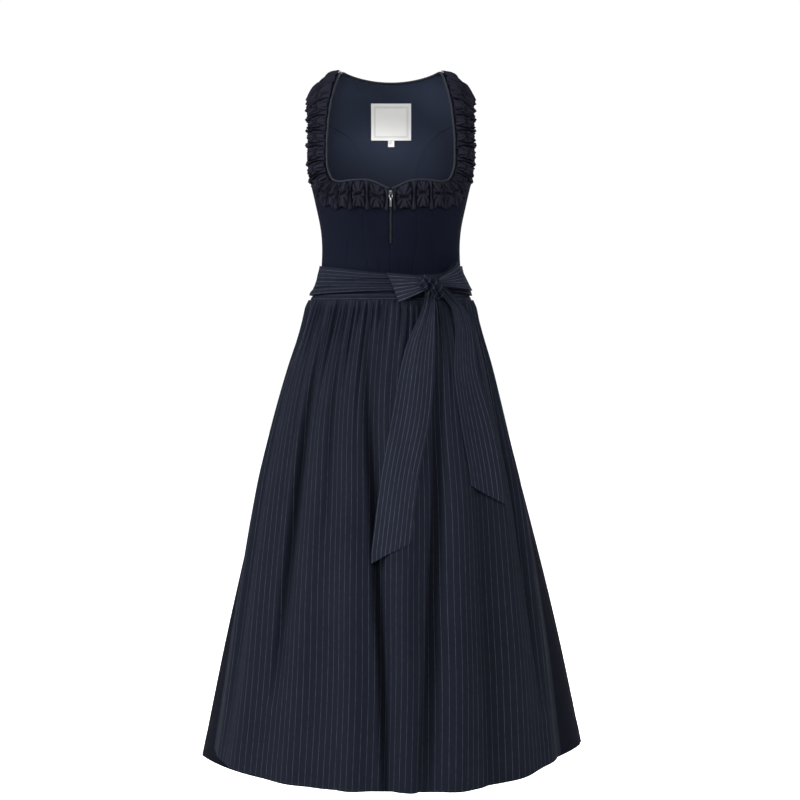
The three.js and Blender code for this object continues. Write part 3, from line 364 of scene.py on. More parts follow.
def place_curve(places):
    """A smooth curve through places of the form, each an equal step of t from 0 to 1."""
    points = np.array([(float(angle) * GIRTH, float(height)) for angle, height in places])
    points = np.vstack([2 * points[0] - points[1], points, 2 * points[-1] - points[-2]])
    steps = np.sqrt(np.linalg.norm(np.diff(points, axis=0), axis=1))

    def at(t):
        along = np.clip(t, 0, 1) * (len(places) - 1)
        k = np.minimum(np.asarray(along).astype(int), len(places) - 2)
        w = (along - k)[..., None]
        a, b, c, d = (points[k + n] for n in range(4))
        first, middle, last = (steps[k + n][..., None] for n in range(3))
        leaving = ((b - a) / first - (c - a) / (first + middle) + (c - b) / middle) * middle
        arriving = ((c - b) / middle - (d - b) / (middle + last) + (d - c) / last) * middle
        bend = (3 * (c - b) - 2 * leaving - arriving) * w**2 + (2 * (b - c) + leaving + arriving) * w**3
        point = b + leaving * w + bend
        return point[..., 0] / GIRTH, point[..., 1]

    return at


# The bodice: four front panels, two side backs and one centre back of closely woven matt cloth, sewn with
# narrow seams that sink a little between the panels. The inside shows through the neckline. It is paler than
# the outside, and painted darker low down: painted shade, where less light reaches it.
BODICE_WALL = 2.0
SEAM_SINK = 0.7
SEAM_SINK_WIDTH = 1.6
CENTRE_FRONT_WIDTH, SIDE_FRONT_WIDTH, SIDE_BACK_WIDTH = 45, 95, 120
WELD_DISTANCE, SHARP_CLOTH = 0.05, 55


def cloth(name, patches, wall, cut, finishes, mirror=False):
    """A sheet of cloth. Each patch is columns, rows and a function that puts shares across and up it in
    place, and that may also give how hollow the cloth lies there, from 0 to 1, which sets how much painted
    shade its colour gets. The outer face is where the function says, the thickness goes inwards, and the UV
    map is in metres of cloth."""
    whole = bmesh.new()
    whole.loops.layers.uv.new("cloth")
    for columns, rows, place in patches:
        patch = bmesh.new()
        patch.loops.layers.uv.new("cloth")
        bmesh.ops.create_grid(patch, x_segments=columns, y_segments=rows, size=0.5, calc_uvs=True)
        piece = bpy.data.meshes.new(name)
        patch.to_mesh(piece)
        patch.free()
        spots = np.empty(len(piece.vertices) * 3)
        piece.vertices.foreach_get("co", spots)
        across, up = spots[0::3] + 0.5, spots[1::3] + 0.5
        points, hollow = place(1 - across if mirror else across, up), None
        if isinstance(points, tuple):
            points, hollow = points
            depth = piece.attributes.new("hollow", "FLOAT", "POINT")
            depth.data.foreach_set("value", np.clip(hollow, 0, 1).astype(np.float32))
        points = np.array(points) * MM
        if mirror:
            points[:, 0] *= -1
        piece.vertices.foreach_set("co", points.ravel())
        whole.from_mesh(piece)
        bpy.data.meshes.remove(piece)
    bmesh.ops.remove_doubles(whole, verts=whole.verts, dist=WELD_DISTANCE * MM)
    layer = whole.loops.layers.uv.active
    for face in whole.faces:
        for loop in face.loops:
            loop[layer].uv = (loop[layer].uv[0] * cut[0] * MM, loop[layer].uv[1] * cut[1] * MM)
    mesh = bpy.data.meshes.new(name)
    whole.to_mesh(mesh)
    whole.free()
    mesh.materials.append(finishes[0].material)
    if wall:
        mesh.materials.append(finishes[-1].material)
    sheet = bpy.data.objects.new(name, mesh)
    bpy.context.collection.objects.link(sheet)
    if wall:
        thickness = sheet.modifiers.new("thickness", "SOLIDIFY")
        thickness.thickness = wall * MM
        thickness.offset = -1
        thickness.material_offset = 1
        sheet.data = settled(sheet)
        sheet.modifiers.clear()
    for polygon in sheet.data.polygons:
        polygon.use_smooth = True
    sheet.data.set_sharp_from_angle(angle=math.radians(SHARP_CLOTH))
    return sheet


def settled(thing):
    return bpy.data.meshes.new_from_object(thing.evaluated_get(bpy.context.evaluated_depsgraph_get()))


def belongs(piece, slot, *nodes, body="dress"):
    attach(piece, body)
    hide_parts(*nodes)


# Painted shade: what is left of a cloth's darker colour in the depth of its folds, where little light gets
# in.
HOLLOW_SHADE = 0.3
WEAVE_RELIEF = 0.12


def woven(name, dark, pale, thread=0.5, roughness=0.92, specular=0.02):
    """Plain closely woven cloth, with a little unevenness of dye and threads that show close to. Its colour
    is darkened as painted shade where the mesh's hollow attribute says it lies in a fold.
    """
    finish = Finish(name, roughness, specular)
    finish.across, finish.along = finish.cloth_place()
    turn = 2 * math.pi / (thread * MM)
    weave = (finish.across * turn).wave() * (finish.along * turn).wave()
    dye = finish.noise(9, 4) * 0.7 + finish.noise(140, 2) * 0.3
    dyed = finish.mixed(dye.between(0.25, 0.75), dark, pale)
    shaded = tuple(value * HOLLOW_SHADE for value in dark)
    # The mesh's hollow attribute darkens the colour: painted shade in the folds.
    finish.hollow = finish.node("ShaderNodeAttribute", {"attribute_name": "hollow"}, output=2)
    finish.colour = finish.mixed(finish.hollow, dyed, shaded)
    finish.coloured(finish.colour)
    finish.bumped(weave * 0.5 + finish.noise(700, 2), WEAVE_RELIEF * MM)
    return finish


bodice_cloth = woven("bodice_cloth", (0.0051, 0.0064, 0.0131), (0.0064, 0.0080, 0.0155))
bodice_inside = woven("bodice_inside", (0.0260, 0.0330, 0.0550), (0.0290, 0.0365, 0.0600))
# Metres of height between which the inside is painted darker: painted shade, deep in the bodice.
INSIDE_DARKENS = (-0.12, -0.21)
low_inside = bodice_inside.axis(bodice_inside.object_place, 2).between(*INSIDE_DARKENS)
bodice_inside.coloured(bodice_inside.mixed(low_inside, bodice_inside.colour, (0.0120, 0.0150, 0.0250)))

ZIP_HALF = 3.4
ZIP_END = -326.5
NECKLINE = table(
    "x z",
    (3.4, -229),
    (20, -222),
    (33, -216),
    (47, -213.3),
    (62, -213.3),
    (78, -214.3),
    (94, -216),
    (109, -211),
)
PRINCESS_SEAM = table(
    "z x",
    (-400, 36),
    (-366, 40),
    (-333, 46),
    (-300, 49),
    (-260, 48),
    (-213.3, 47),
)
PRINCESS_TOP = 3
NECK_STEPS = len(NECKLINE["x"]) - 1
STRAP_NECK = table(
    "x z",
    (109, -211),
    (117.5, -190),
    (119.5, -160),
    (118.5, -120),
    (113.5, -72),
    (103.5, -30),
)
STRAP_ARM = table("x z", (145, -189), (149, -160), (150, -120), (150, -85), (150, -65))
SHOULDER_NECK_X = 93
neck_places = [front_place(x, z) for x, z in zip(NECKLINE["x"], NECKLINE["z"])]
neck_curve = place_curve(neck_places)


def shoulder_place(x, gap):
    return front_place(x, ARCH_BASE)[0], np.full(np.shape(x), ARCH_TOP - gap)


def edge_curve(rows, *ends):
    return place_curve([*(front_place(x, z) for x, z in zip(rows["x"], rows["z"])), *ends])


strap_neck = edge_curve(STRAP_NECK, shoulder_place(SHOULDER_NECK_X, SEAM_GAP))
strap_arm = edge_curve(STRAP_ARM, shoulder_place(SHOULDER_END, SEAM_GAP))

# Soft creases above the tie and below the underarms, each from one place to another as seen from the front.
CREASE_STRENGTH, CREASE_REACH = 1.6, 0.42
BODICE_CREASES = table(
    "from_x from_z to_x to_z width depth",
    (-88, -338, -106, -372, 5, 1.4),
    (-60, -352, -66, -385, 4, 0.7),
    (76, -318, 80, -376, 3, 0.9),
    (100, -345, 92, -380, 4.5, 1.0),
    (20, -350, 16, -390, 4, 0.5),
    (-22, -345, -18, -388, 5, 0.5),
    (-115, -215, -96, -262, 6, 0.8),
    (117, -214, 98, -265, 6, 0.8),
)


def creased(creases, x, z):
    """How deep the creases are at a point seen at x and z."""
    total = 0
    for x0, z0, x1, z1, width, depth in each_row(creases):
        run_x, run_z = x1 - x0, z1 - z0
        length = math.hypot(run_x, run_z)
        along = ((x - x0) * run_x + (z - z0) * run_z) / length**2
        aside = ((x - x0) * run_z - (z - z0) * run_x) / length
        total = total + CREASE_STRENGTH * depth * trough(aside, 0, width) * trough(along, 0.5, CREASE_REACH)
    return total


def on_bodice(place, u, width):
    """A panel's points on the form, sunk along its two seams and creased above the waist."""
    to_seam = np.minimum(u, 1 - u) * width
    points = form_surface(*place)
    front_creases = np.where(points[..., 1] < 0, creased(BODICE_CREASES, points[..., 0], points[..., 2]), 0)
    return form_point(place, -SEAM_SINK * trough(to_seam, 0, SEAM_SINK_WIDTH) - front_creases)


def eased(u):
    """Shares with their steps closer together towards both ends, for the seams."""
    return lerp(u, 0.5 - 0.5 * np.cos(math.pi * u), 0.75)


def princess_place(v, gap):
    z = lerp(WAIST, NECKLINE["z"][PRINCESS_TOP], v)
    return front_place(read(PRINCESS_SEAM, "z", "x", z) + gap, z)


def centre_front(u, v):
    across = eased(u)
    top = neck_curve(across * PRINCESS_TOP / NECK_STEPS)
    top_x, top_z = form_surface(*top)[..., 0], top[1]
    z = lerp(WAIST, top_z, v)
    share = lerp(across, (top_x - ZIP_HALF) / (NECKLINE["x"][PRINCESS_TOP] - ZIP_HALF), v)
    edge_x = lerp(-SEAM_LAP, ZIP_HALF, smoothstep(z, ZIP_END - 1, ZIP_END + 1))
    x = lerp(edge_x, read(PRINCESS_SEAM, "z", "x", z) + SEAM_LAP, share)
    return on_bodice(front_place(x, z), across, CENTRE_FRONT_WIDTH)


def coons(edges, u, v):
    """A panel filled in between its four edges, each a function of a share from 0 to 1."""
    bottom, top, left, right = (edges[side] for side in ("bottom", "top", "left", "right"))
    zero, one = np.zeros(1), np.ones(1)

    def filled(key):
        sides = (1 - v) * bottom(u)[key] + v * top(u)[key] + (1 - u) * left(v)[key] + u * right(v)[key]
        left_corners = (1 - v) * bottom(zero)[key] + v * top(zero)[key]
        right_corners = (1 - v) * bottom(one)[key] + v * top(one)[key]
        return sides - (1 - u) * left_corners - u * right_corners

    return filled(0), filled(1)


def side_angle(height, gap):
    return math.pi / 2 + gap / read(RINGS, "height", "half_width", height)


STRAP_STEPS = 4
ARMHOLE_BOTTOM = [
    (math.radians(75), -195.5),
    (math.radians(83), -199),
    (side_angle(UNDERARM, SEAM_LAP), UNDERARM),
]
SIDE_STEPS = (NECK_STEPS - PRINCESS_TOP) + STRAP_STEPS + len(ARMHOLE_BOTTOM)
STRAP_FROM = (NECK_STEPS - PRINCESS_TOP) / SIDE_STEPS
STRAP_TO = (NECK_STEPS - PRINCESS_TOP + STRAP_STEPS) / SIDE_STEPS
armhole_bottom = place_curve([strap_arm(np.array(0.0)), *ARMHOLE_BOTTOM])


def side_front_top(u):
    neck = neck_curve(lerp(PRINCESS_TOP / NECK_STEPS, 1, np.clip(u / STRAP_FROM, 0, 1)))
    start = np.zeros_like(u)
    foot = mix_places(strap_neck(start), strap_arm(start), (u - STRAP_FROM) / (STRAP_TO - STRAP_FROM))
    armhole = armhole_bottom((u - STRAP_TO) / (1 - STRAP_TO))
    beyond_neck = [np.where(u <= STRAP_TO, on_foot, on_arm) for on_foot, on_arm in zip(foot, armhole)]
    return tuple(np.where(u <= STRAP_FROM, on_neck, other) for on_neck, other in zip(neck, beyond_neck))


SIDE_FRONT_EDGES = {
    "bottom": lambda u: (
        lerp(princess_place(np.zeros_like(u), -SEAM_LAP)[0], side_angle(WAIST, SEAM_LAP), u),
        np.full_like(u, WAIST),
    ),
    "top": side_front_top,
    "left": lambda v: princess_place(v, -SEAM_LAP),
    "right": lambda v: (side_angle(lerp(WAIST, UNDERARM, v), SEAM_LAP), lerp(WAIST, UNDERARM, v)),
}


def side_front(u, v):
    return on_bodice(coons(SIDE_FRONT_EDGES, u, v), u, SIDE_FRONT_WIDTH)


def strap(u, v):
    return form_point(mix_places(strap_neck(v), strap_arm(v), u), 0)


BACK_ROWS = table(
    "row x z middle_z",
    (0, 36, -400, -400),
    (1, 38, -345, -345),
    (2, 41, -285, -285),
    (3, 43, -230, -234),
    (4, 45, -191, -203),
    (5, 52, -163, -178),
    (6, 64, -139, -156),
    (7, 84, -117, -135),
    (8, 114, -99, -114),
    (9, 146, -90, -93),
    (10, 149, -79, -72),
    (11, 150, -66, -47),
)
SEAM_ROWS = 9
TOP_ROW = 12
BACK_NECK_DROP, BACK_NECK_RISE = -19, 16
SEAM_OVERLAP = 0.4


def back_seam(v, gap):
    row = v * SEAM_ROWS
    angle, height = back_place(read(BACK_ROWS, "row", "x", row), read(BACK_ROWS, "row", "z", row))
    return angle + gap / GIRTH, height


def centre_back(u, v):
    share, row = 1 - 2 * u, v * TOP_ROW
    edge_x = read(BACK_ROWS, "row", "x", row) + SEAM_LAP
    z = lerp(read(BACK_ROWS, "row", "middle_z", row), read(BACK_ROWS, "row", "z", row), share**2)
    below = back_place(edge_x * share, z)
    top_x = SHOULDER_END * share
    neck = back_place(top_x, BACK_NECK_DROP + BACK_NECK_RISE * (top_x / SHOULDER_NECK_X) ** 2)
    seam_angle, seam_height = shoulder_place(top_x, SEAM_GAP)
    on_neck = np.abs(top_x) < SHOULDER_NECK_X - 0.01
    top = np.where(on_neck, neck[0], math.pi - seam_angle), np.where(on_neck, neck[1], seam_height)
    place = mix_places(below, top, np.clip(row - (TOP_ROW - 1), 0, 1))
    sunk = np.where(v * TOP_ROW < SEAM_ROWS, np.minimum(u, 1 - u) * 2 * edge_x, SEAM_SINK_WIDTH * 9)
    return form_point(place, -0.5 * SEAM_SINK * trough(sunk, 0, SEAM_SINK_WIDTH))


side_back_armhole = place_curve(
    [
        (side_angle(UNDERARM, -SEAM_LAP), UNDERARM),
        (math.radians(98), -190),
        (math.radians(106), -160),
        back_seam(np.array(1.0), SEAM_OVERLAP),
    ]
)
SIDE_BACK_EDGES = {
    "bottom": lambda u: (
        lerp(side_angle(WAIST, -SEAM_LAP), back_seam(np.zeros_like(u), SEAM_OVERLAP)[0], u),
        np.full_like(u, WAIST),
    ),
    "top": side_back_armhole,
    "left": lambda v: (side_angle(lerp(WAIST, UNDERARM, v), -SEAM_LAP), lerp(WAIST, UNDERARM, v)),
    "right": lambda v: back_seam(v, SEAM_OVERLAP),
}


def side_back(u, v):
    across = eased(u)
    return on_bodice(coons(SIDE_BACK_EDGES, across, v), across, SIDE_BACK_WIDTH)


BODICE_PANELS = {
    "centre_front": ([(40, 90, centre_front)], (48, 186), 0.0083),
    "side_front": ([(88, 90, side_front), (32, 60, strap)], (150, 400), 0.0395),
    "side_back": ([(60, 90, side_back)], (150, 310), 0.0400),
}
bodice_finishes = (bodice_cloth, bodice_inside)
for panel, (patches, cut, area) in BODICE_PANELS.items():
    for side, mirror in (("left", False), ("right", True)):
        sheet = cloth(f"{panel}_{side}_cloth", patches, BODICE_WALL, cut, bodice_finishes, mirror)
        belongs(sheet, "bodice_cloth", f"{panel}_{side}")
back = cloth("centre_back_cloth", [(100, 96, centre_back)], BODICE_WALL, (310, 400), bodice_finishes)
belongs(back, "bodice_cloth", "centre_back")

# The skirt: three widths of the same kind of cloth, gathered to the waist seam. The front lies flat under the
# apron. At the sides and the back it opens into soft folds that run down to a turned hem.
SKIRT_WALL = 1.2
SKIRT_HEM = -1276
SKIRT_TOP = WAIST - SEAM_GAP
HEM_DEPTH = 42
SKIRT_FOLDS, SKIRT_FOLD_DEPTH = 17, 20
SKIRT_GATHER_DEPTHS = (2, 5)
HEM_STEP, HEM_STITCH_SINK, SKIRT_SEAM_SINK = 0.5, 0.4, 0.8
# Degrees from the front between which the skirt leaves the apron and hangs free, in folds.
FREE_FROM, FREE_TO = 88, 112
skirt_cloth = woven("skirt_cloth", (0.0046, 0.0055, 0.0102), (0.0058, 0.0068, 0.0122))
skirt_inside = woven("skirt_inside", (0.0065, 0.0078, 0.0122), (0.0080, 0.0095, 0.0145))
HEM_DROPS = table(
    "angle drop",
    (-90, 14),
    (-72, 3),
    (-45, 1),
    (-20, 3),
    (0, 1),
    (22, 5),
    (40, -6),
    (55, -17),
    (72, -18),
    (90, -12),
    (180, 0),
    (270, 14),
)
# Longer creases laid over the even folds, by angle at the waist and at the hem. Some are ridges, below zero.
SKIRT_CREASES = table(
    "waist hem width depth start end",
    (-82, -86, 2.2, 3.0, 0.05, 0.8),
    (-74, -79, 1.6, 2.0, 0.15, 1.1),
    (78, 72, 1.8, 2.4, 0.05, 0.9),
    (86, 84, 2.4, 3.2, 0.2, 1.2),
    (104, 99, 2.6, 4.5, 0.02, 0.7),
    (121, 127, 2.0, -4.0, 0.1, 1.1),
    (138, 133, 3.0, 5.0, 0.05, 1.2),
    (151, 158, 1.8, 3.0, 0.0, 0.5),
    (163, 160, 2.6, -4.5, 0.2, 1.2),
    (177, 181, 2.4, 5.5, 0.04, 0.9),
    (192, 187, 1.8, 3.5, 0.0, 0.6),
    (204, 209, 3.0, 5.0, 0.1, 1.2),
    (219, 215, 2.0, -3.5, 0.05, 0.8),
    (231, 236, 2.4, 4.5, 0.0, 1.0),
    (246, 243, 2.0, 3.0, 0.2, 1.2),
    (259, 262, 2.4, 3.5, 0.05, 0.9),
)


def skirt_lift(angle, gathers, drop):
    """How far the skirt stands off the form, by its gathers, by even folds and by the creases over them."""
    round_front = np.where(angle > math.pi, 2 * math.pi - angle, np.abs(angle))
    free = smoothstep(round_front, math.radians(FREE_FROM), math.radians(FREE_TO))
    wander = 0.7 * np.sin(3 * angle + 2 * drop)
    wave = 0.5 + 0.5 * np.cos(SKIRT_FOLDS * angle + wander)
    strength = 1 - 0.25 * (1 - np.sin(5 * angle))
    fold = SKIRT_FOLD_DEPTH * strength * smoothstep(drop, 0.04, 0.55)
    uneven = 0.8 + 0.2 * np.sin(2.7 * gathers + 11 * angle)
    fade = 1 - smoothstep(drop, 0.02, 0.34 + 0.1 * np.sin(5 * gathers))
    pleat = (0.5 - 0.5 * np.cos(2 * math.pi * gathers)) ** 0.8
    gather = pleat * uneven * fade * lerp(*SKIRT_GATHER_DEPTHS, smoothstep(drop, 0, 0.075))
    pressed = 0.35 * gather + 1.1 * smoothstep(drop, 0, 0.14)
    creases = 0
    for waist, hem, width, depth, start, end in each_row(SKIRT_CREASES):
        along = np.clip((drop - start) / (end - start), 0, 1)
        middle = np.radians(lerp(waist, hem, drop))
        creases = creases + depth * np.sin(math.pi * along) * trough(angle, middle, math.radians(width))
    return lerp(pressed, gather + wave * fold, free) - creases * smoothstep(round_front, 1.15, 1.5)


def skirt_width(from_angle, to_angle, gathers):
    def place(u, v):
        drop = (1 - v) ** 1.4
        girth = read(RINGS, "height", "half_width", lerp(SKIRT_TOP, SKIRT_HEM, drop))
        angle = lerp(from_angle, to_angle, u) - (1 - 2 * u) * SEAM_LAP / girth
        hem = SKIRT_HEM - read(HEM_DROPS, "angle", "drop", np.degrees(angle))
        z = lerp(SKIRT_TOP, hem, drop)
        lift = skirt_lift(angle, u * gathers, drop)
        stitches = hem + HEM_DEPTH
        turned = HEM_STEP * smoothstep(stitches - z, -1, 1) - HEM_STITCH_SINK * trough(z, stitches, 2)
        to_seam = np.minimum(u, 1 - u) * abs(to_angle - from_angle) * girth
        seam = SKIRT_SEAM_SINK * trough(to_seam, 0, 2.5) * smoothstep(drop, 0.1, 0.2)
        return form_point((angle, z), lift + turned - seam)

    return place


SKIRT_WIDTHS = {
    "skirt_front": (-math.pi / 2, math.pi / 2, 14, 200, (1060, 890), 0.68),
    "skirt_back_left": (math.pi / 2, math.pi, 18, 200, (580, 890), 0.37),
    "skirt_back_right": (math.pi, 3 * math.pi / 2, 18, 200, (580, 890), 0.37),
}
for name, (from_angle, to_angle, gathers, columns, cut, area) in SKIRT_WIDTHS.items():
    rows = 100 if "back" in name else 80
    patches = [(columns, rows, skirt_width(from_angle, to_angle, gathers))]
    sheet = cloth(f"{name}_cloth", patches, SKIRT_WALL, cut, (skirt_cloth, skirt_inside))
    belongs(sheet, "skirt_cloth", name)

# The zip: woven tapes behind the panels' edges, small dark teeth that interlock, a metal slider and its pull
# tab, which has a pointed window and hangs on the slider's bridge.
zip_tape_cloth = woven("zip_tape_cloth", (0.0050, 0.0056, 0.0090), (0.0068, 0.0075, 0.0115), thread=0.8)
zip_coil = Finish("zip_coil", 0.45, 0.4)
zip_coil.coloured(zip_coil.mixed(zip_coil.noise(900), (0.010, 0.011, 0.015), (0.018, 0.019, 0.024)))
bright_metal = Finish("zip_pull_metal", 0.3, metallic=1.0)
polished = bright_metal.mixed(bright_metal.noise(350), (0.26, 0.26, 0.265), (0.34, 0.34, 0.345))
# Metres of height between which the tab's polish ends and its dark ring begins.
RING_BEGINS = (-0.241, -0.239)
on_ring = bright_metal.axis(bright_metal.object_place, 2).between(*RING_BEGINS)
bright_metal.coloured(bright_metal.mixed(on_ring, polished, (0.06, 0.061, 0.067)))
bright_metal.bumped(bright_metal.noise(2500, 2), 0.02 * MM)
dark_metal = Finish("zip_slider_metal", 0.34, metallic=1.0)
dark_metal.coloured(dark_metal.mixed(dark_metal.noise(350), (0.055, 0.057, 0.065), (0.09, 0.092, 0.10)))
dark_metal.bumped(dark_metal.noise(2500, 2), 0.02 * MM)
TAPE_HALF, TAPE_TOP, TAPE_WALL = 9, -231, 0.8
TAPE_LIFT = -BODICE_WALL - 0.8
TOOTH_PITCH, TOOTH_ASIDE, TOOTH_LIFT = 1.35, 0.75, -0.3
TOOTH_SIZE = (3.1, 1.7, 0.75)


def tape(u, v):
    return form_point(front_place(lerp(-TAPE_HALF, TAPE_HALF, u), lerp(ZIP_END, TAPE_TOP, v)), TAPE_LIFT)


tapes = cloth("zip_tapes", [(12, 40, tape)], TAPE_WALL, (18, 96), (zip_tape_cloth, zip_tape_cloth))
belongs(tapes, "zip_tape", "zip_tape")


SHARP_METAL = 40


def joined(name, shapes, finish):
    mesh = bpy.data.meshes.new(name)
    shapes.to_mesh(mesh)
    shapes.free()
    mesh.materials.append(finish.material)
    for polygon in mesh.polygons:
        polygon.use_smooth = True
    mesh.set_sharp_from_angle(angle=math.radians(SHARP_METAL))
    piece = bpy.data.objects.new(name, mesh)
    bpy.context.collection.objects.link(piece)
    return piece


teeth = bmesh.new()
tooth_count = int((TAPE_TOP - ZIP_END) / TOOTH_PITCH)
tooth_z = ZIP_END + 1 + TOOTH_PITCH * np.arange(tooth_count)
for k, z in enumerate(tooth_z):
    x = (1 if k % 2 else -1) * TOOTH_ASIDE
    place = front_place(x, z)
    spot = form_point(place, TOOTH_LIFT) * MM
    turn = Matrix.Rotation(float(place[0]) * 0.5, 4, "Z")
    size = Matrix.Diagonal((*(length * MM for length in TOOTH_SIZE), 1))
    bmesh.ops.create_cube(teeth, size=1, matrix=Matrix.Translation(spot) @ turn @ size)
bmesh.ops.bevel(
    teeth, geom=teeth.edges, offset=0.18 * MM, segments=2, profile=0.5, affect="EDGES", material=-1
)
chain = joined("zip_teeth", teeth, zip_coil)
belongs(chain, "zip_chain", "zip_chain")


# Radians between two faces: under the first they are one flat face, over the second their edge is rounded.
FLAT_UNDER, ROUNDED_OVER = 0.02, 0.5


def smoothed_copy(node, name, bevel, finish):
    """A copy of a metal piece of the zip with its edges rounded."""
    shape = bmesh.new()
    shape.from_mesh(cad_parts[node].data)
    bmesh.ops.remove_doubles(shape, verts=shape.verts, dist=0.001 * MM)
    flat = [e for e in shape.edges if e.is_manifold and e.calc_face_angle() < FLAT_UNDER]
    bmesh.ops.dissolve_edges(shape, edges=flat, use_verts=True)
    sharp = [e for e in shape.edges if e.is_manifold and e.calc_face_angle() > ROUNDED_OVER]
    bmesh.ops.bevel(
        shape, geom=sharp, offset=bevel * MM, segments=2, profile=0.5, affect="EDGES", material=-1,
        clamp_overlap=True,
    )
    return joined(name, shape, finish)


slider = smoothed_copy("zip_slider", "zip_slider_metal", 0.28, dark_metal)
belongs(slider, "zip_metal", "zip_slider")
pull = smoothed_copy("zip_pull", "zip_pull_metal", 0.2, bright_metal)
belongs(pull, "zip_metal", "zip_pull", body="pull_tab")

# The frill: a ribbon of the bodice cloth laid in box pleats, fourteen a side. Each pleat is pinched at its
# middle, and between two pleats the ribbon's edges are caught together, which leaves a pursed mouth.
FRILL_EDGE = table(
    "x z",
    (6, -263),
    (20, -262),
    (33, -261),
    (46, -260),
    (62, -259),
    (80, -259),
    (102, -257),
    (130, -243),
    (147, -203),
    (150.5, -163),
    (151, -121),
    (151, -88),
    (150.5, -68),
)
FRILL_START = (5.8, -228)
FRILL_UNITS = 14
FRILL_REACH, FRILL_WALL, FRILL_CUT = 1.04, 0.9, (760, 45)
# The bodice cloth, painted paler for the frill: painted light, to make up for the shade in its pleats.
frill_cloth = woven("frill_cloth", (0.0134, 0.0141, 0.0222), (0.0170, 0.0178, 0.0268))
strap_steps = len(FRILL_EDGE["x"]) - len(neck_places)
frill_neck = place_curve(
    [
        front_place(*FRILL_START),
        *neck_places[1:],
        *(strap_neck(np.array((k + 1) / (strap_steps + 1))) for k in range(strap_steps)),
        strap_neck(np.array(1.0)),
    ]
)
frill_far = edge_curve(FRILL_EDGE, shoulder_place(SHOULDER_END, SEAM_GAP))
fine = np.linspace(0, 1, 1200)
fine_angle, fine_height = frill_far(fine)
run = np.hypot(np.diff(fine_angle * GIRTH), np.diff(fine_height))
far_share = np.concatenate([[0], np.cumsum(run)]) / run.sum()


def frill_relief(units, across, shake):
    """How high the ribbon stands, by pleats along it and by a place across it from -1 to 1, and how much
    painted shade it gets in its slits and grooves and along its far edge.
    """
    unit_at = np.minimum(units.astype(int), FRILL_UNITS - 1)
    s = units - unit_at
    from_pleat = np.minimum(s, 1 - s)
    from_mouth = np.abs(s - 0.5)
    slant, side = shake["slant"][unit_at], np.where(s < 0.5, 1, -1)
    edge = np.abs(across)
    tilt = across + slant * (s - 0.5) + shake["shift"][unit_at]
    waist = 0.062 + (0.10 + 0.04 * slant * side) * edge**1.6
    middle = (7.6 - 1.6 * edge**2) * shake["pleat"][unit_at]
    ribs = 0.9 * np.cos(2 * math.pi * from_pleat / waist)
    dome = np.clip(1 - (from_mouth / (0.47 - 0.11 * edge**1.6)) ** 2, 0, 1) ** 0.7
    cushion = (1.8 + 5.8 * dome * (1 - 0.3 * edge**3)) * shake["mouth"][unit_at]
    open_part = smoothstep(0.36 - from_mouth, 0, 0.2)
    slit = trough(tilt, 0, shake["slit"][unit_at] * (0.4 + 0.6 * open_part)) * open_part
    turn = np.arctan2(from_mouth * 2.2, np.abs(tilt) + 0.02)
    rays = np.sin(turn * 10 + 20 * slant) * smoothstep(np.abs(tilt), 0.06, 0.3)
    rays = rays * smoothstep(from_mouth, 0.03, 0.15)
    groove = trough(from_pleat, waist + 0.02 * (1 - edge), 0.024 + 0.03 * (1 - edge) ** 2)
    height = np.where(from_pleat < waist, middle + ribs, cushion + 2.2 * rays - 6.5 * slit)
    # Painted shade in the slits, in the grooves beside the pinches and along the far edge, less on the rays.
    hollow = 0.8 * slit + 0.95 * groove - 0.6 * rays * (from_pleat > waist)
    hollow = hollow + 0.2 * smoothstep(across, 0.75, 1)
    return np.maximum(height - 6.0 * groove - 1.6 * smoothstep(-across, 0.6, 1), 0.9), hollow


def frill_half(shake):
    def place(u, v):
        across = 1 - v
        t = np.interp(u, far_share, fine)
        s = u * FRILL_UNITS - np.floor(u * FRILL_UNITS)
        flare = 0.06 * np.cos(2 * math.pi * s) * smoothstep(across, 0.55, 1)
        nip = 0.04 * (0.5 - 0.5 * np.cos(2 * math.pi * s)) * smoothstep(1 - across, 0.55, 1)
        spot = mix_places(frill_neck(t), frill_far(t), FRILL_REACH * across + flare + nip)
        lift, hollow = frill_relief(u * FRILL_UNITS, 2 * across - 1, shake)
        return form_point(spot, lerp(2.0, lift, smoothstep(1 - u, 0.004, 0.03))), hollow

    return place


for side, mirror in (("left", False), ("right", True)):
    shake = {
        "slant": rng.uniform(-0.5, 0.5, FRILL_UNITS),
        "shift": rng.uniform(-0.12, 0.12, FRILL_UNITS),
        "pleat": rng.uniform(0.88, 1.06, FRILL_UNITS),
        "mouth": rng.uniform(0.75, 1.12, FRILL_UNITS),
        "slit": rng.uniform(0.11, 0.22, FRILL_UNITS),
    }
    patches = [(504, 40, frill_half(shake))]
    ribbon = cloth(f"neck_frill_{side}_ribbon", patches, FRILL_WALL, FRILL_CUT, (frill_cloth,), mirror)
    belongs(ribbon, "frill_cloth", f"neck_frill_{side}")

# The corded edge of the neckline: a bias strip folded round a cord, just inside the frill.
PIPING_RADIUS, PIPING_CLEARANCE, PIPING_DEPTH = 1.8, 0.4, 1.0
OPENING_PASSES, LINE_PASSES = 6, 3
piping_cloth = woven(
    "piping_cloth", (0.0130, 0.0150, 0.0215), (0.0175, 0.0200, 0.0275), roughness=0.75, specular=0.3
)
front_neck = [neck_curve(np.array(t)) for t in np.linspace(0, 1, 40)]
front_strap = [strap_neck(np.array(t)) for t in np.linspace(0, 1, 36)[1:]]
back_x = np.linspace(SHOULDER_NECK_X, -SHOULDER_NECK_X, 60)[1:-1]
back_neck = [back_place(x, BACK_NECK_DROP + BACK_NECK_RISE * (x / SHOULDER_NECK_X) ** 2) for x in back_x]
half_neck = [(float(angle), float(height)) for angle, height in front_neck + front_strap]
whole_neck = np.array(
    half_neck + [(float(a), float(h)) for a, h in back_neck] + [(-a, h) for a, h in reversed(half_neck)]
)


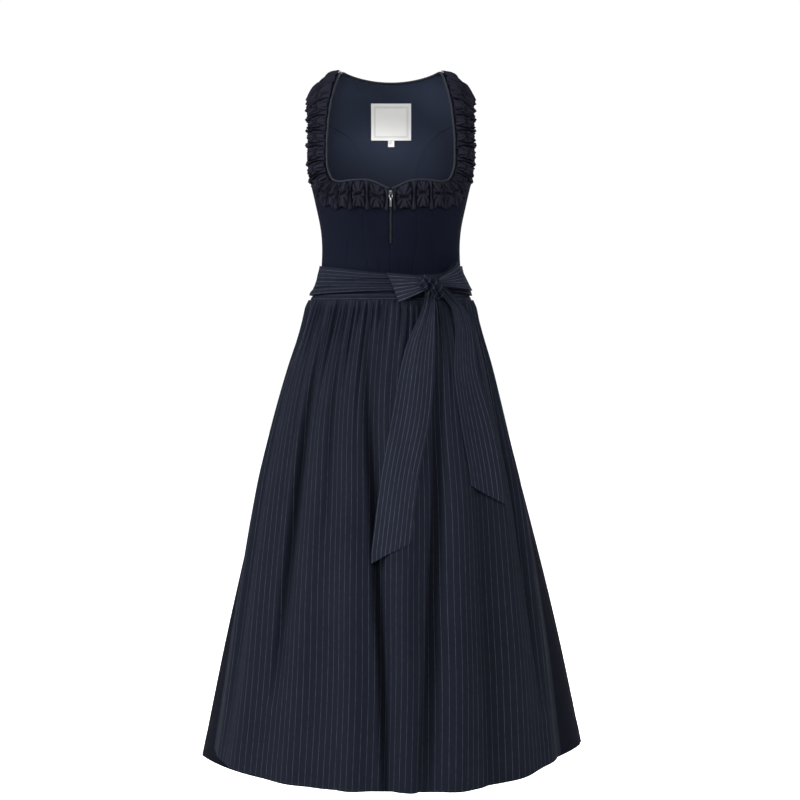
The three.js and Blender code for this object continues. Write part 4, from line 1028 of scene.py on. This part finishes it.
def piping_line():
    """The cord's middle, and the two directions square to it, at places round the neckline."""
    edge = form_point((whole_neck[:, 0], whole_neck[:, 1]), -PIPING_DEPTH)
    out = form_normal(whole_neck[:, 0], whole_neck[:, 1])
    along = unit(np.gradient(edge, axis=0))
    opening = unit(np.cross(out, along))
    for _ in range(OPENING_PASSES):
        opening[1:-1] = unit(opening[:-2] + 2 * opening[1:-1] + opening[2:])
    return edge + opening * (PIPING_RADIUS + PIPING_CLEARANCE), opening, out


piping_middle, piping_in, piping_out = piping_line()
for _ in range(LINE_PASSES):
    piping_middle[1:-1] = (piping_middle[:-2] + 2 * piping_middle[1:-1] + piping_middle[2:]) / 4


def piping(u, v):
    k = np.clip(u * (len(piping_middle) - 1), 0, len(piping_middle) - 1)
    steps = np.arange(len(piping_middle))
    middle, across, out = (
        np.stack([np.interp(k, steps, line[:, n]) for n in range(3)], axis=-1)
        for line in (piping_middle, piping_in, piping_out)
    )
    turn = -2 * math.pi * v
    return middle + PIPING_RADIUS * (across * np.cos(turn)[:, None] + out * np.sin(turn)[:, None])


def closed(piece):
    """Closes the open ends of a tube and turns its faces outwards."""
    shape = bmesh.new()
    shape.from_mesh(piece.data)
    bmesh.ops.holes_fill(shape, edges=[e for e in shape.edges if e.is_boundary])
    bmesh.ops.recalc_face_normals(shape, faces=shape.faces)
    shape.to_mesh(piece.data)
    shape.free()
    return piece


cord = closed(cloth("neck_piping_cord", [(420, 12, piping)], 0, (1100, 12), (piping_cloth,)))
belongs(cord, "piping_cord", "neck_piping")

# The bare woven label inside the back: a cream satin ribbon with a plain woven border, sewn on with small
# stitches. A folded size tab is caught under it.
LABEL_HALF, LABEL_TOP, LABEL_BOTTOM, LABEL_WALL = 38.5, -52, -122, 0.8
LABEL_LIFT = -BODICE_WALL - 1.3
LABEL_MIDDLE = (LABEL_TOP - LABEL_BOTTOM) / 2
BORDER_INSET, BORDER_WIDTH, BORDER_PITCH = 7, (2.2, 1.6), 3.2
TAB_HALF, TAB_DROP, TAB_WALL = 6, 12, 1.2
label_cloth = Finish("label_satin", 0.6, 0.3)
label_across, label_up = label_cloth.cloth_place()
edge_x = (label_across - LABEL_HALF * MM).size() - (LABEL_HALF - BORDER_INSET) * MM
edge_y = (label_up - LABEL_MIDDLE * MM).size() - (LABEL_MIDDLE - BORDER_INSET) * MM
outermost = edge_x.maths("MAXIMUM", edge_x, edge_y)
marks = outermost.size().between(*(width * MM for width in BORDER_WIDTH))
for slant in (label_across + label_up, label_across - label_up):
    marks = marks * (slant * (1 / (BORDER_PITCH * MM))).fraction().between(0.42, 0.5)
satin = label_cloth.mixed(label_cloth.noise(60), (0.93, 0.925, 0.905), (0.96, 0.955, 0.935))
label_cloth.coloured(label_cloth.mixed(marks * 0.75, satin, (0.24, 0.235, 0.22)))
label_cloth.bumped((label_up * (2 * math.pi / (0.5 * MM))).wave() - marks, 0.05 * MM)


def inside_back(half, top, bottom, bow=0.0):
    def place(u, v):
        lift = LABEL_LIFT - bow * np.sin(math.pi * u) * np.sin(math.pi * v)
        return form_point(back_place(lerp(half, -half, u), lerp(bottom, top, v)), lift)

    return place


label_cut = (2 * LABEL_HALF, LABEL_TOP - LABEL_BOTTOM)
label_patch = (36, 36, inside_back(LABEL_HALF, LABEL_TOP, LABEL_BOTTOM, 0.5))
label = cloth("label_ribbon", [label_patch], LABEL_WALL, label_cut, (label_cloth,))
belongs(label, "label_cloth", "label")
tab_top = LABEL_BOTTOM - SEAM_GAP
tab_patch = (8, 10, inside_back(TAB_HALF, tab_top, tab_top - TAB_DROP))
size_tab = cloth("size_tab_ribbon", [tab_patch], TAB_WALL, (2 * TAB_HALF, TAB_DROP), (label_cloth,))
belongs(size_tab, "label_cloth", "size_tab")

# The apron: one width of light cloth with fine pale pinstripes, gathered about two to one into its waistband.
# The gathers run out into soft folds. A deep hem is turned up at the bottom and a narrow one down each side.
APRON_WALL = 0.9
APRON_TOP = -428.6
APRON_CLEARANCE = 3.6
APRON_CUT = (784, 850)
APRON_PITCH = 11.2
RIBBON_PITCH = 7.0
APRON_GATHERS = 40
APRON_HEM_DEPTH = 48
APRON_HEM_STEP, APRON_STITCH_SINK = 0.5, 0.7
# The width of the narrow side hems, as a share of the apron's.
APRON_SIDE_HEM = 0.014
APRON_BASE = 1.5
GATHER_DEPTH, APRON_CREASE_STRENGTH = 9.5, 1.7
# How wide a fold is towards the wearer's right, where it is steep, and towards the left.
FOLD_SIDES = (0.5, 1.4)


def pinstriped(name, across_uv, pitch, dark, pale, stripe):
    """Cloth with pale stripes a thread or two wide, a little broken along their length."""
    finish = woven(name, dark, pale, thread=0.6, roughness=0.8, specular=0.03)
    across, along = (finish.across, finish.along) if across_uv else (finish.along, finish.across)
    from_line = ((across * (1 / (pitch * MM)) + 0.25).fraction() - 0.5).size() * pitch
    line = from_line.between(0.52, 0.24)
    broken = 0.72 + 0.28 * (along * (2 * math.pi / (1.7 * MM))).wave()
    patchy = finish.noise(90, 3).between(0.35, 0.62) * 0.55 + 0.45
    # The stripes fade in the folds too: painted shade.
    seen = line * broken * patchy * (1 - 0.75 * finish.hollow)
    finish.coloured(finish.mixed(seen, finish.colour, stripe))
    return finish


apron_cloth = pinstriped(
    "apron_cloth", True, APRON_PITCH,
    dark=(0.0088, 0.0108, 0.0180), pale=(0.0111, 0.0135, 0.0216), stripe=(0.060, 0.068, 0.090),
)
# The bow and the tails are the apron cloth painted paler, with brighter stripes: painted light, for the light
# that their open faces catch.
bow_cloth = pinstriped(
    "bow_cloth", False, RIBBON_PITCH,
    dark=(0.0118, 0.0146, 0.0235), pale=(0.0148, 0.0178, 0.0280), stripe=(0.096, 0.106, 0.134),
)
tail_cloth = pinstriped(
    "tail_cloth", True, RIBBON_PITCH,
    dark=(0.0112, 0.0138, 0.0228), pale=(0.0140, 0.0170, 0.0272), stripe=(0.068, 0.076, 0.101),
)
apron_back = woven("apron_back", (0.0094, 0.0114, 0.0182), (0.0118, 0.0140, 0.0218), roughness=0.8)
ribbon_cloth = pinstriped(
    "ribbon_cloth", False, RIBBON_PITCH,
    dark=(0.0088, 0.0111, 0.0188), pale=(0.0112, 0.0138, 0.0226), stripe=(0.058, 0.066, 0.090),
)
APRON_EDGES = table(
    "z right left",
    (-428, -95, 95),
    (-600, -86, 80),
    (-790, -77, 72),
    (-948, -71.5, 66),
    (-1100, -67.5, 62),
    (-1280, -65, 58),
)
APRON_HEM = table(
    "share z",
    (0, -1250),
    (0.12, -1263),
    (0.25, -1272),
    (0.5, -1272),
    (0.66, -1275),
    (0.78, -1274),
    (0.88, -1263),
    (1, -1250),
)
APRON_BODY = table("drop lift", (0, 3.4), (0.02, 8.5), (0.07, 11.5), (0.3, 15), (1, 16))
# The larger folds, from a place at the waist to one at the hem, as shares of the apron's width.
APRON_FOLDS = table(
    "waist hem width depth start end",
    (0.09, 0.07, 0.022, 0.45, 0.05, 1),
    (0.27, 0.2, 0.018, 0.95, 0.02, 0.85),
    (0.36, 0.34, 0.018, 0.35, 0, 0.5),
    (0.44, 0.505, 0.016, 1, 0.03, 1.2),
    (0.55, 0.57, 0.016, 0.5, 0, 0.4),
    (0.66, 0.6, 0.02, 0.95, 0.02, 1.1),
    (0.76, 0.765, 0.03, 0.55, 0.25, 1.2),
    (0.87, 0.93, 0.018, 0.95, 0, 0.9),
)
# Smaller ones that run out of single gathers, in millimetres of depth before APRON_CREASE_STRENGTH.
APRON_CREASES = table(
    "waist hem width depth start end",
    (0.045, 0.03, 0.010, 2.2, 0.0, 0.5),
    (0.135, 0.11, 0.011, 3.0, 0.0, 0.62),
    (0.175, 0.15, 0.009, 2.4, 0.0, 0.42),
    (0.225, 0.18, 0.010, 2.8, 0.0, 0.55),
    (0.315, 0.27, 0.012, 3.4, 0.0, 0.8),
    (0.400, 0.41, 0.010, 2.4, 0.0, 0.48),
    (0.485, 0.47, 0.012, 2.6, 0.0, 0.6),
    (0.515, 0.54, 0.009, 2.6, 0.0, 0.38),
    (0.600, 0.59, 0.011, 3.2, 0.0, 0.52),
    (0.705, 0.68, 0.011, 2.6, 0.0, 0.6),
    (0.735, 0.72, 0.009, 2.4, 0.0, 0.35),
    (0.810, 0.83, 0.012, 3.2, 0.0, 0.7),
    (0.915, 0.95, 0.010, 2.6, 0.0, 0.5),
    (0.950, 0.975, 0.008, 2.0, 0.0, 0.36),
)
# Broad swells between the folds.
APRON_SWELLS = table(
    "waist hem width depth start end",
    (0.05, 0.03, 0.03, 5.0, 0.1, 1.3),
    (0.17, 0.13, 0.04, 13.0, 0.02, 1.4),
    (0.33, 0.275, 0.035, 11.0, 0.03, 1.1),
    (0.40, 0.425, 0.035, 13.0, 0.05, 1.5),
    (0.50, 0.575, 0.035, 11.0, 0.1, 1.5),
    (0.61, 0.535, 0.03, 6.0, 0.05, 0.8),
    (0.71, 0.685, 0.04, 14.0, 0.04, 1.5),
    (0.82, 0.85, 0.04, 12.0, 0.03, 1.3),
    (0.94, 0.965, 0.025, 5.0, 0.05, 1.2),
)
gather_depth = rng.uniform(0.5, 1.1, APRON_GATHERS + 2)
gather_reach = 0.08 + 0.4 * rng.uniform(0, 1, APRON_GATHERS + 2) ** 2.2
gather_shift = rng.uniform(-0.3, 0.3, APRON_GATHERS + 2)


def apron_body(drop):
    return read(APRON_BODY, "drop", "lift", drop)


def fold_strength(drop, start, end, fullness):
    along = np.clip((drop - start) / (end - start), 0, 1)
    return np.where((along > 0) & (along < 1), np.sin(math.pi * along) ** fullness, 0)


def apron_swell(share, drop):
    swell = 0
    for waist, hem, width, depth, start, end in each_row(APRON_SWELLS):
        strength = depth * fold_strength(drop, start, end, 0.7)
        swell = swell + strength * trough(share, lerp(waist, hem, drop), width)
    return swell


def apron_lift(share, drop):
    """How far the apron stands off the form, and how hollow it is in its folds, which sets its painted shade.
    """
    folds = 0
    for waist, hem, width, depth, start, end in each_row(APRON_FOLDS):
        strength = depth * fold_strength(drop, start, end, 0.6)
        middle = lerp(waist, hem, drop)
        one_sided = width * np.where(share < middle, *FOLD_SIDES)
        folds = np.maximum(folds, strength * trough(share, middle, one_sided))
    creases = 0
    for waist, hem, width, depth, start, end in each_row(APRON_CREASES):
        strength = APRON_CREASE_STRENGTH * np.clip(1 - (drop - start) / (end - start), 0, 1) ** 0.8
        creases = creases + depth * strength * trough(share, lerp(waist, hem, drop), width)
    edge = 0.3 + 0.2 * (1 - smoothstep(drop, 0.04, 0.15))
    side = lerp(edge, 1, smoothstep(np.minimum(share, 1 - share), 0, 0.07))
    phase = share * APRON_GATHERS
    knots = np.arange(APRON_GATHERS + 2)
    phase = phase + np.interp(phase, knots, gather_shift)
    at = np.clip(np.floor(phase + 0.5).astype(int), 0, APRON_GATHERS + 1)
    fade = 1 - smoothstep(drop, 0.01, gather_reach[at])
    valley = (0.5 + 0.5 * np.cos(2 * math.pi * phase)) ** 1.5
    gather = GATHER_DEPTH * gather_depth[at] * valley * fade * smoothstep(drop, -0.01, 0.03)
    swell = apron_swell(share, drop)
    body = apron_body(drop) * side * (1 - folds) + swell * side * (1 - 0.7 * folds)
    # Painted shade in the folds and creases, a little less on the swells.
    hollow = 0.85 * folds**1.5 + 0.05 * creases - 0.02 * swell
    return APRON_CLEARANCE + np.maximum(0, body - gather - creases * side), hollow


# How far the cloth stands out over the hips under the tie, and how far it falls in below.
HIP_STAND = table(
    "z stand",
    (-300, 0),
    (-416, 0),
    (-424, 4),
    (-434, 3),
    (-470, -3),
    (-520, -5),
    (-640, -4),
    (-760, 0),
)


def hip_stand(angle, z):
    return read(HIP_STAND, "z", "stand", z) * np.sin(angle) ** 4


def apron(u, v):
    drop = (1 - v) ** 1.45
    z = lerp(APRON_TOP, read(APRON_HEM, "share", "z", u), drop)
    right = np.radians(read(APRON_EDGES, "z", "right", z))
    left = np.radians(read(APRON_EDGES, "z", "left", z))
    hem_line = read(APRON_HEM, "share", "z", u) + APRON_HEM_DEPTH
    turned = APRON_HEM_STEP * smoothstep(hem_line - z, -1.5, 1.5)
    turned = turned - APRON_STITCH_SINK * trough(z, hem_line, 2.2)
    side_hem = APRON_HEM_STEP * smoothstep(APRON_SIDE_HEM - np.minimum(u, 1 - u), -0.002, 0.002)
    angle = lerp(right, left, u)
    lift, hollow = apron_lift(u, drop)
    stand = np.maximum(hip_stand(angle, z), -0.5 * lift)
    return form_point((angle, z), lift + APRON_BASE + turned + side_hem + stand), hollow


apron_patch = (384, 116, apron)
apron_sheet = cloth("apron_panel_cloth", [apron_patch], APRON_WALL, APRON_CUT, (apron_cloth, apron_back))
belongs(apron_sheet, "apron_cloth", "apron_panel")

# The waistband that the gathers are sewn into. The tie covers all of it but its lower edge.
BAND_TOP, BAND_BOTTOM, BAND_LIFT, BAND_WALL = -391, APRON_TOP + SEAM_GAP, 2.8, 1.2


def waistband(u, v):
    angle = np.radians(lerp(APRON_EDGES["right"][0], APRON_EDGES["left"][0], u))
    z = lerp(BAND_BOTTOM, BAND_TOP, v)
    return form_point((angle, z), BAND_LIFT + BAND_WALL + hip_stand(angle, z))


band_patch = (120, 10, waistband)
band = cloth("apron_waistband_cloth", [band_patch], BAND_WALL, (470, 38), (ribbon_cloth, apron_back))
belongs(band, "apron_cloth", "apron_waistband")

# The two ties: long strips of the apron cloth with the stripes along them. They go round the waist over the
# band, cross at the back and meet under the bow. Slack cloth lies in creases along them.
TIE_EDGES = table(
    "angle top bottom slack",
    (-180, -366, -420, 3),
    (-90, -365, -420, 6),
    (-45, -370, -416, 2.5),
    (5, -381, -411, 0.6),
    (30, -382, -411, 0),
    (60, -371, -415, 1),
    (90, -365, -420, 6),
    (180, -366, -420, 3),
)
TIE_WALL, TIE_LIFT, TIE_TOP_LIFT, TIE_MEETS, TIE_GAP = 1.0, 5, 2.2, 25, 0.1
TIE_BASE, TIE_DEEPEST = 1.8, 1.7
# A crease is steep above its line and soft below it, as where one layer slips under the next.
TIE_CREASES = table(
    "start end across slant soft steep depth",
    (-50, 40, 0.66, 0.42, 0.20, 0.035, 1.7),
    (-104, 12, 0.28, 0.16, 0.14, 0.035, 1.5),
    (-90, -20, 0.50, -0.06, 0.10, 0.08, 0.5),
    (-24, 24, 0.50, 0.10, 0.10, 0.05, 0.8),
    (38, 150, 0.55, 0.15, 0.16, 0.05, 1.2),
    (60, 110, 0.28, -0.08, 0.12, 0.06, 0.9),
    (125, 181, 0.40, 0.12, 0.16, 0.05, 1.3),
    (-181, -118, 0.62, -0.2, 0.16, 0.05, 1.3),
    (-150, -95, 0.35, 0.1, 0.1, 0.06, 0.9),
)


def tie_wrap(from_degrees, to_degrees):
    def place(u, v):
        degrees = lerp(from_degrees, to_degrees, u)
        top = read(TIE_EDGES, "angle", "top", degrees)
        z = lerp(read(TIE_EDGES, "angle", "bottom", degrees), top, v)
        front_slack = 2.4 * trough(degrees, 0, 40)
        slack = (read(TIE_EDGES, "angle", "slack", degrees) + front_slack) * (1 - smoothstep(v, 0, 0.6))
        crease = 0
        for start, end, across, slant, soft, steep, depth in each_row(TIE_CREASES):
            along = np.clip((degrees - start) / (end - start), 0, 1)
            aside = v - (across + slant * (along - 0.5))
            step = trough(aside, 0, np.where(aside > 0, steep, soft))
            step = step - 2.0 * trough(aside, -0.9 * soft, 0.6 * soft)
            crease = crease + depth * np.sin(math.pi * along) ** 0.8 * step
        ripple = 0.25 * np.sin(np.radians(degrees) * 19 + 7 * v) * np.sin(math.pi * v)
        lift = lerp(TIE_LIFT + slack, TIE_TOP_LIFT, smoothstep(z, BAND_TOP, top))
        lift = lift + TIE_BASE - np.minimum(crease, TIE_DEEPEST) + ripple
        # The creases get painted shade, by half their depth.
        return form_point((np.radians(degrees), z), lift), 0.5 * crease

    return place


TIES = {
    "tie_right": (-180 + TIE_GAP, TIE_MEETS - TIE_GAP, 260, (485, 50)),
    "tie_left": (TIE_MEETS + TIE_GAP, 180 - TIE_GAP, 200, (370, 50)),
}
for name, (from_degrees, to_degrees, columns, cut) in TIES.items():
    wrap = cloth(f"{name}_cloth", [(columns, 40, tie_wrap(from_degrees, to_degrees))], TIE_WALL, cut,
                 (ribbon_cloth, ribbon_cloth))
    belongs(wrap, "apron_cloth", name)

# The knot: the right tie wound once over the left one and pulled tight, so that it lies in small pleats.
KNOT_ANGLE, KNOT_Z, KNOT_LIFT, KNOT_SLANT = 27.5, -406, 19.5, -34
KNOT_SIZE = np.array((17, 30, 13.5))
KNOT_PLEATS = table(
    "turn twist width depth",
    (-150, 70, 12, 0.25),
    (-112, 90, 9, 0.22),
    (-72, 60, 11, 0.36),
    (-38, 100, 8, 0.28),
    (-8, 75, 10, 0.42),
    (26, 50, 8, 0.26),
    (54, 85, 10, 0.38),
    (88, 66, 9, 0.24),
    (124, 80, 11, 0.3),
    (165, 70, 12, 0.25),
)
knot_middle = form_point((np.radians(KNOT_ANGLE), np.array(float(KNOT_Z))), np.array(KNOT_LIFT))
knot_turn = np.array(
    Matrix.Rotation(math.radians(KNOT_ANGLE), 3, "Z")
    @ Matrix.Rotation(math.pi / 2 - math.radians(KNOT_SLANT), 3, "Y")
    @ Matrix.Rotation(math.pi / 2, 3, "X")
)


def knot(u, v):
    turn, polar = 2 * math.pi * u, math.pi * (1 - v)
    along = np.cos(polar)
    degrees = np.degrees(turn)
    pleats = 0
    for middle, twist, width, depth in each_row(KNOT_PLEATS):
        aside = (degrees - middle - twist * along + 540) % 360 - 180
        pleats = pleats + depth * trough(aside, 0, width)
    waist = 0.32 * trough(along, -0.3 + 0.12 * np.sin(turn), 0.1)
    waist = waist + 0.3 * trough(along, 0.5 + 0.08 * np.cos(turn), 0.08)
    fine = 0.03 * np.sin(13 * turn + 9 * along) * np.sin(polar)
    across = np.sin(polar) * (1.12 - 1.2 * pleats * np.sin(polar) ** 0.5 - waist + fine)
    ball = np.stack([across * np.sin(turn), along, across * np.cos(turn)], axis=-1) * KNOT_SIZE
    # Painted shade in the knot's pleats and waists.
    hollow = 1.5 * pleats + 1.1 * waist - 3 * fine - 0.05
    return knot_middle + ball @ knot_turn.T, hollow


bow_knot = closed(cloth("bow_knot_cloth", [(120, 60, knot)], 0, (150, 48), (ribbon_cloth,)))
belongs(bow_knot, "apron_cloth", "bow_knot")

# The bow's two loops: each goes out from the knot, turns at its end and comes back behind itself, pinched
# into pleats at the knot and rounded at its end.
LOOP_WALL, LOOP_END_LIFT, LOOP_HALF_DEPTH = 1.0, 17, 12.8
LOOPS = {
    "right": dict(root=(27, -389, -404), end=(-2, 4, -378, -433), pleats=3.5, sign=-1),
    "left": dict(root=(33, -390, -403), end=(55, 77, -359, -411), pleats=2.5, sign=1),
}


def bow_loop(root, end, pleats, sign):
    def place(u, v):
        turn = math.pi * (u if sign > 0 else 1 - u)
        reach = np.sin(turn) ** 0.7
        end_angle = lerp(end[1], end[0], v)
        angle = np.radians(lerp(root[0], end_angle, reach))
        height = lerp(lerp(root[2], root[1], v), lerp(end[3], end[2], v), reach)
        puff = 0.45 + 0.55 * reach**2 * (1.3 - reach)
        fold = LOOP_HALF_DEPTH * puff * np.cos(turn)
        pleat = 1.5 * np.cos(2 * math.pi * pleats * v + 0.6) * (1 - smoothstep(reach, 0.25, 0.95))
        soft = 0.8 * np.sin(math.pi * v) * np.sin(3.1 * reach + 2 * v)
        lift = lerp(KNOT_LIFT, LOOP_END_LIFT, reach) + fold + (pleat + soft) * np.cos(turn)
        return form_point((angle, height), lift)

    return place


for side, loop in LOOPS.items():
    bow = cloth(f"bow_loop_{side}_cloth", [(140, 32, bow_loop(**loop))], LOOP_WALL, (120, 50), (bow_cloth,))
    belongs(bow, "apron_cloth", f"bow_loop_{side}")

# The two tails hang from the knot over the apron. Their ends are cut aslant, and soft folds run down each of
# them from the pleats at the knot.
TAILS = {
    "long": table(
        "z right left",
        (-404, 58, 74),
        (-440, 55, 75),
        (-516, 25, 74),
        (-637, 2, 67),
        (-745, -16, 46),
        (-872, -31, 32),
    ),
    "short": table(
        "z right left",
        (-404, 72, 88),
        (-450, 104, 126),
        (-562, 104, 144),
        (-658, 115, 167),
        (-723, 126, 178),
        (-778, 133, 185),
    ),
}
TAIL_GAP, TAIL_POINT, TAIL_RIPPLE, TAIL_WALL, TAIL_BASE = 0.6, 19, 1.6, 1.0, 1.4
# Heights between which a tail comes up off the apron to the knot.
TAIL_RISES = (-455, -405)
TAIL_FOLDS = {
    "long": table("top bottom width depth end", (0.3, 0.62, 0.09, 2.6, 0.75), (0.62, 0.3, 0.07, 2.0, 0.5)),
    "short": table("top bottom width depth end", (0.35, 0.7, 0.1, 2.4, 0.7), (0.7, 0.42, 0.08, 2.2, 0.9)),
}


def tail(rows, folds, slopes):
    def place(u, v):
        top, bottom = rows["z"][0], rows["z"][-1]
        down = 1 - v
        z = lerp(top, bottom, down) - TAIL_POINT * slopes * (1 - 2 * u) * smoothstep(down, 0.5, 1)
        level = np.clip(z, bottom, top)
        x = lerp(read(rows, "z", "right", level), read(rows, "z", "left", level), u)
        drop = np.clip((APRON_TOP - z) / (APRON_TOP - SKIRT_HEM), 0, 1)
        right, left = (np.radians(read(APRON_EDGES, "z", edge, z)) for edge in ("right", "left"))
        share = (front_place(x, z)[0] - right) / (left - right)
        rest = APRON_CLEARANCE + apron_body(drop) + apron_swell(share, drop) + APRON_BASE + TAIL_GAP
        ripple = TAIL_RIPPLE * (0.5 + 0.5 * np.cos(2 * math.pi * u)) * (1 - smoothstep(down, 0.1, 0.6))
        soft = 0
        for fold_top, fold_bottom, width, depth, end in each_row(folds):
            fade = 1 - smoothstep(down, 0.1, end)
            soft = soft + depth * fade * trough(u, lerp(fold_top, fold_bottom, down), width)
        pleat = 1.3 * np.cos(6 * math.pi * u) * (1 - smoothstep(down, 0.02, 0.2))
        lift = lerp(rest, KNOT_LIFT, smoothstep(z, *TAIL_RISES)) + ripple + soft + pleat + TAIL_BASE
        return form_point(front_place(x, z), lift)

    return place


for length, slopes in (("long", 1), ("short", -1)):
    cut = (62, 490) if length == "long" else (56, 400)
    patches = [(48, 140, tail(TAILS[length], TAIL_FOLDS[length], slopes))]
    hanging = cloth(f"tie_tail_{length}_cloth", patches, TAIL_WALL, cut, (tail_cloth,))
    belongs(hanging, "apron_cloth", f"tie_tail_{length}")
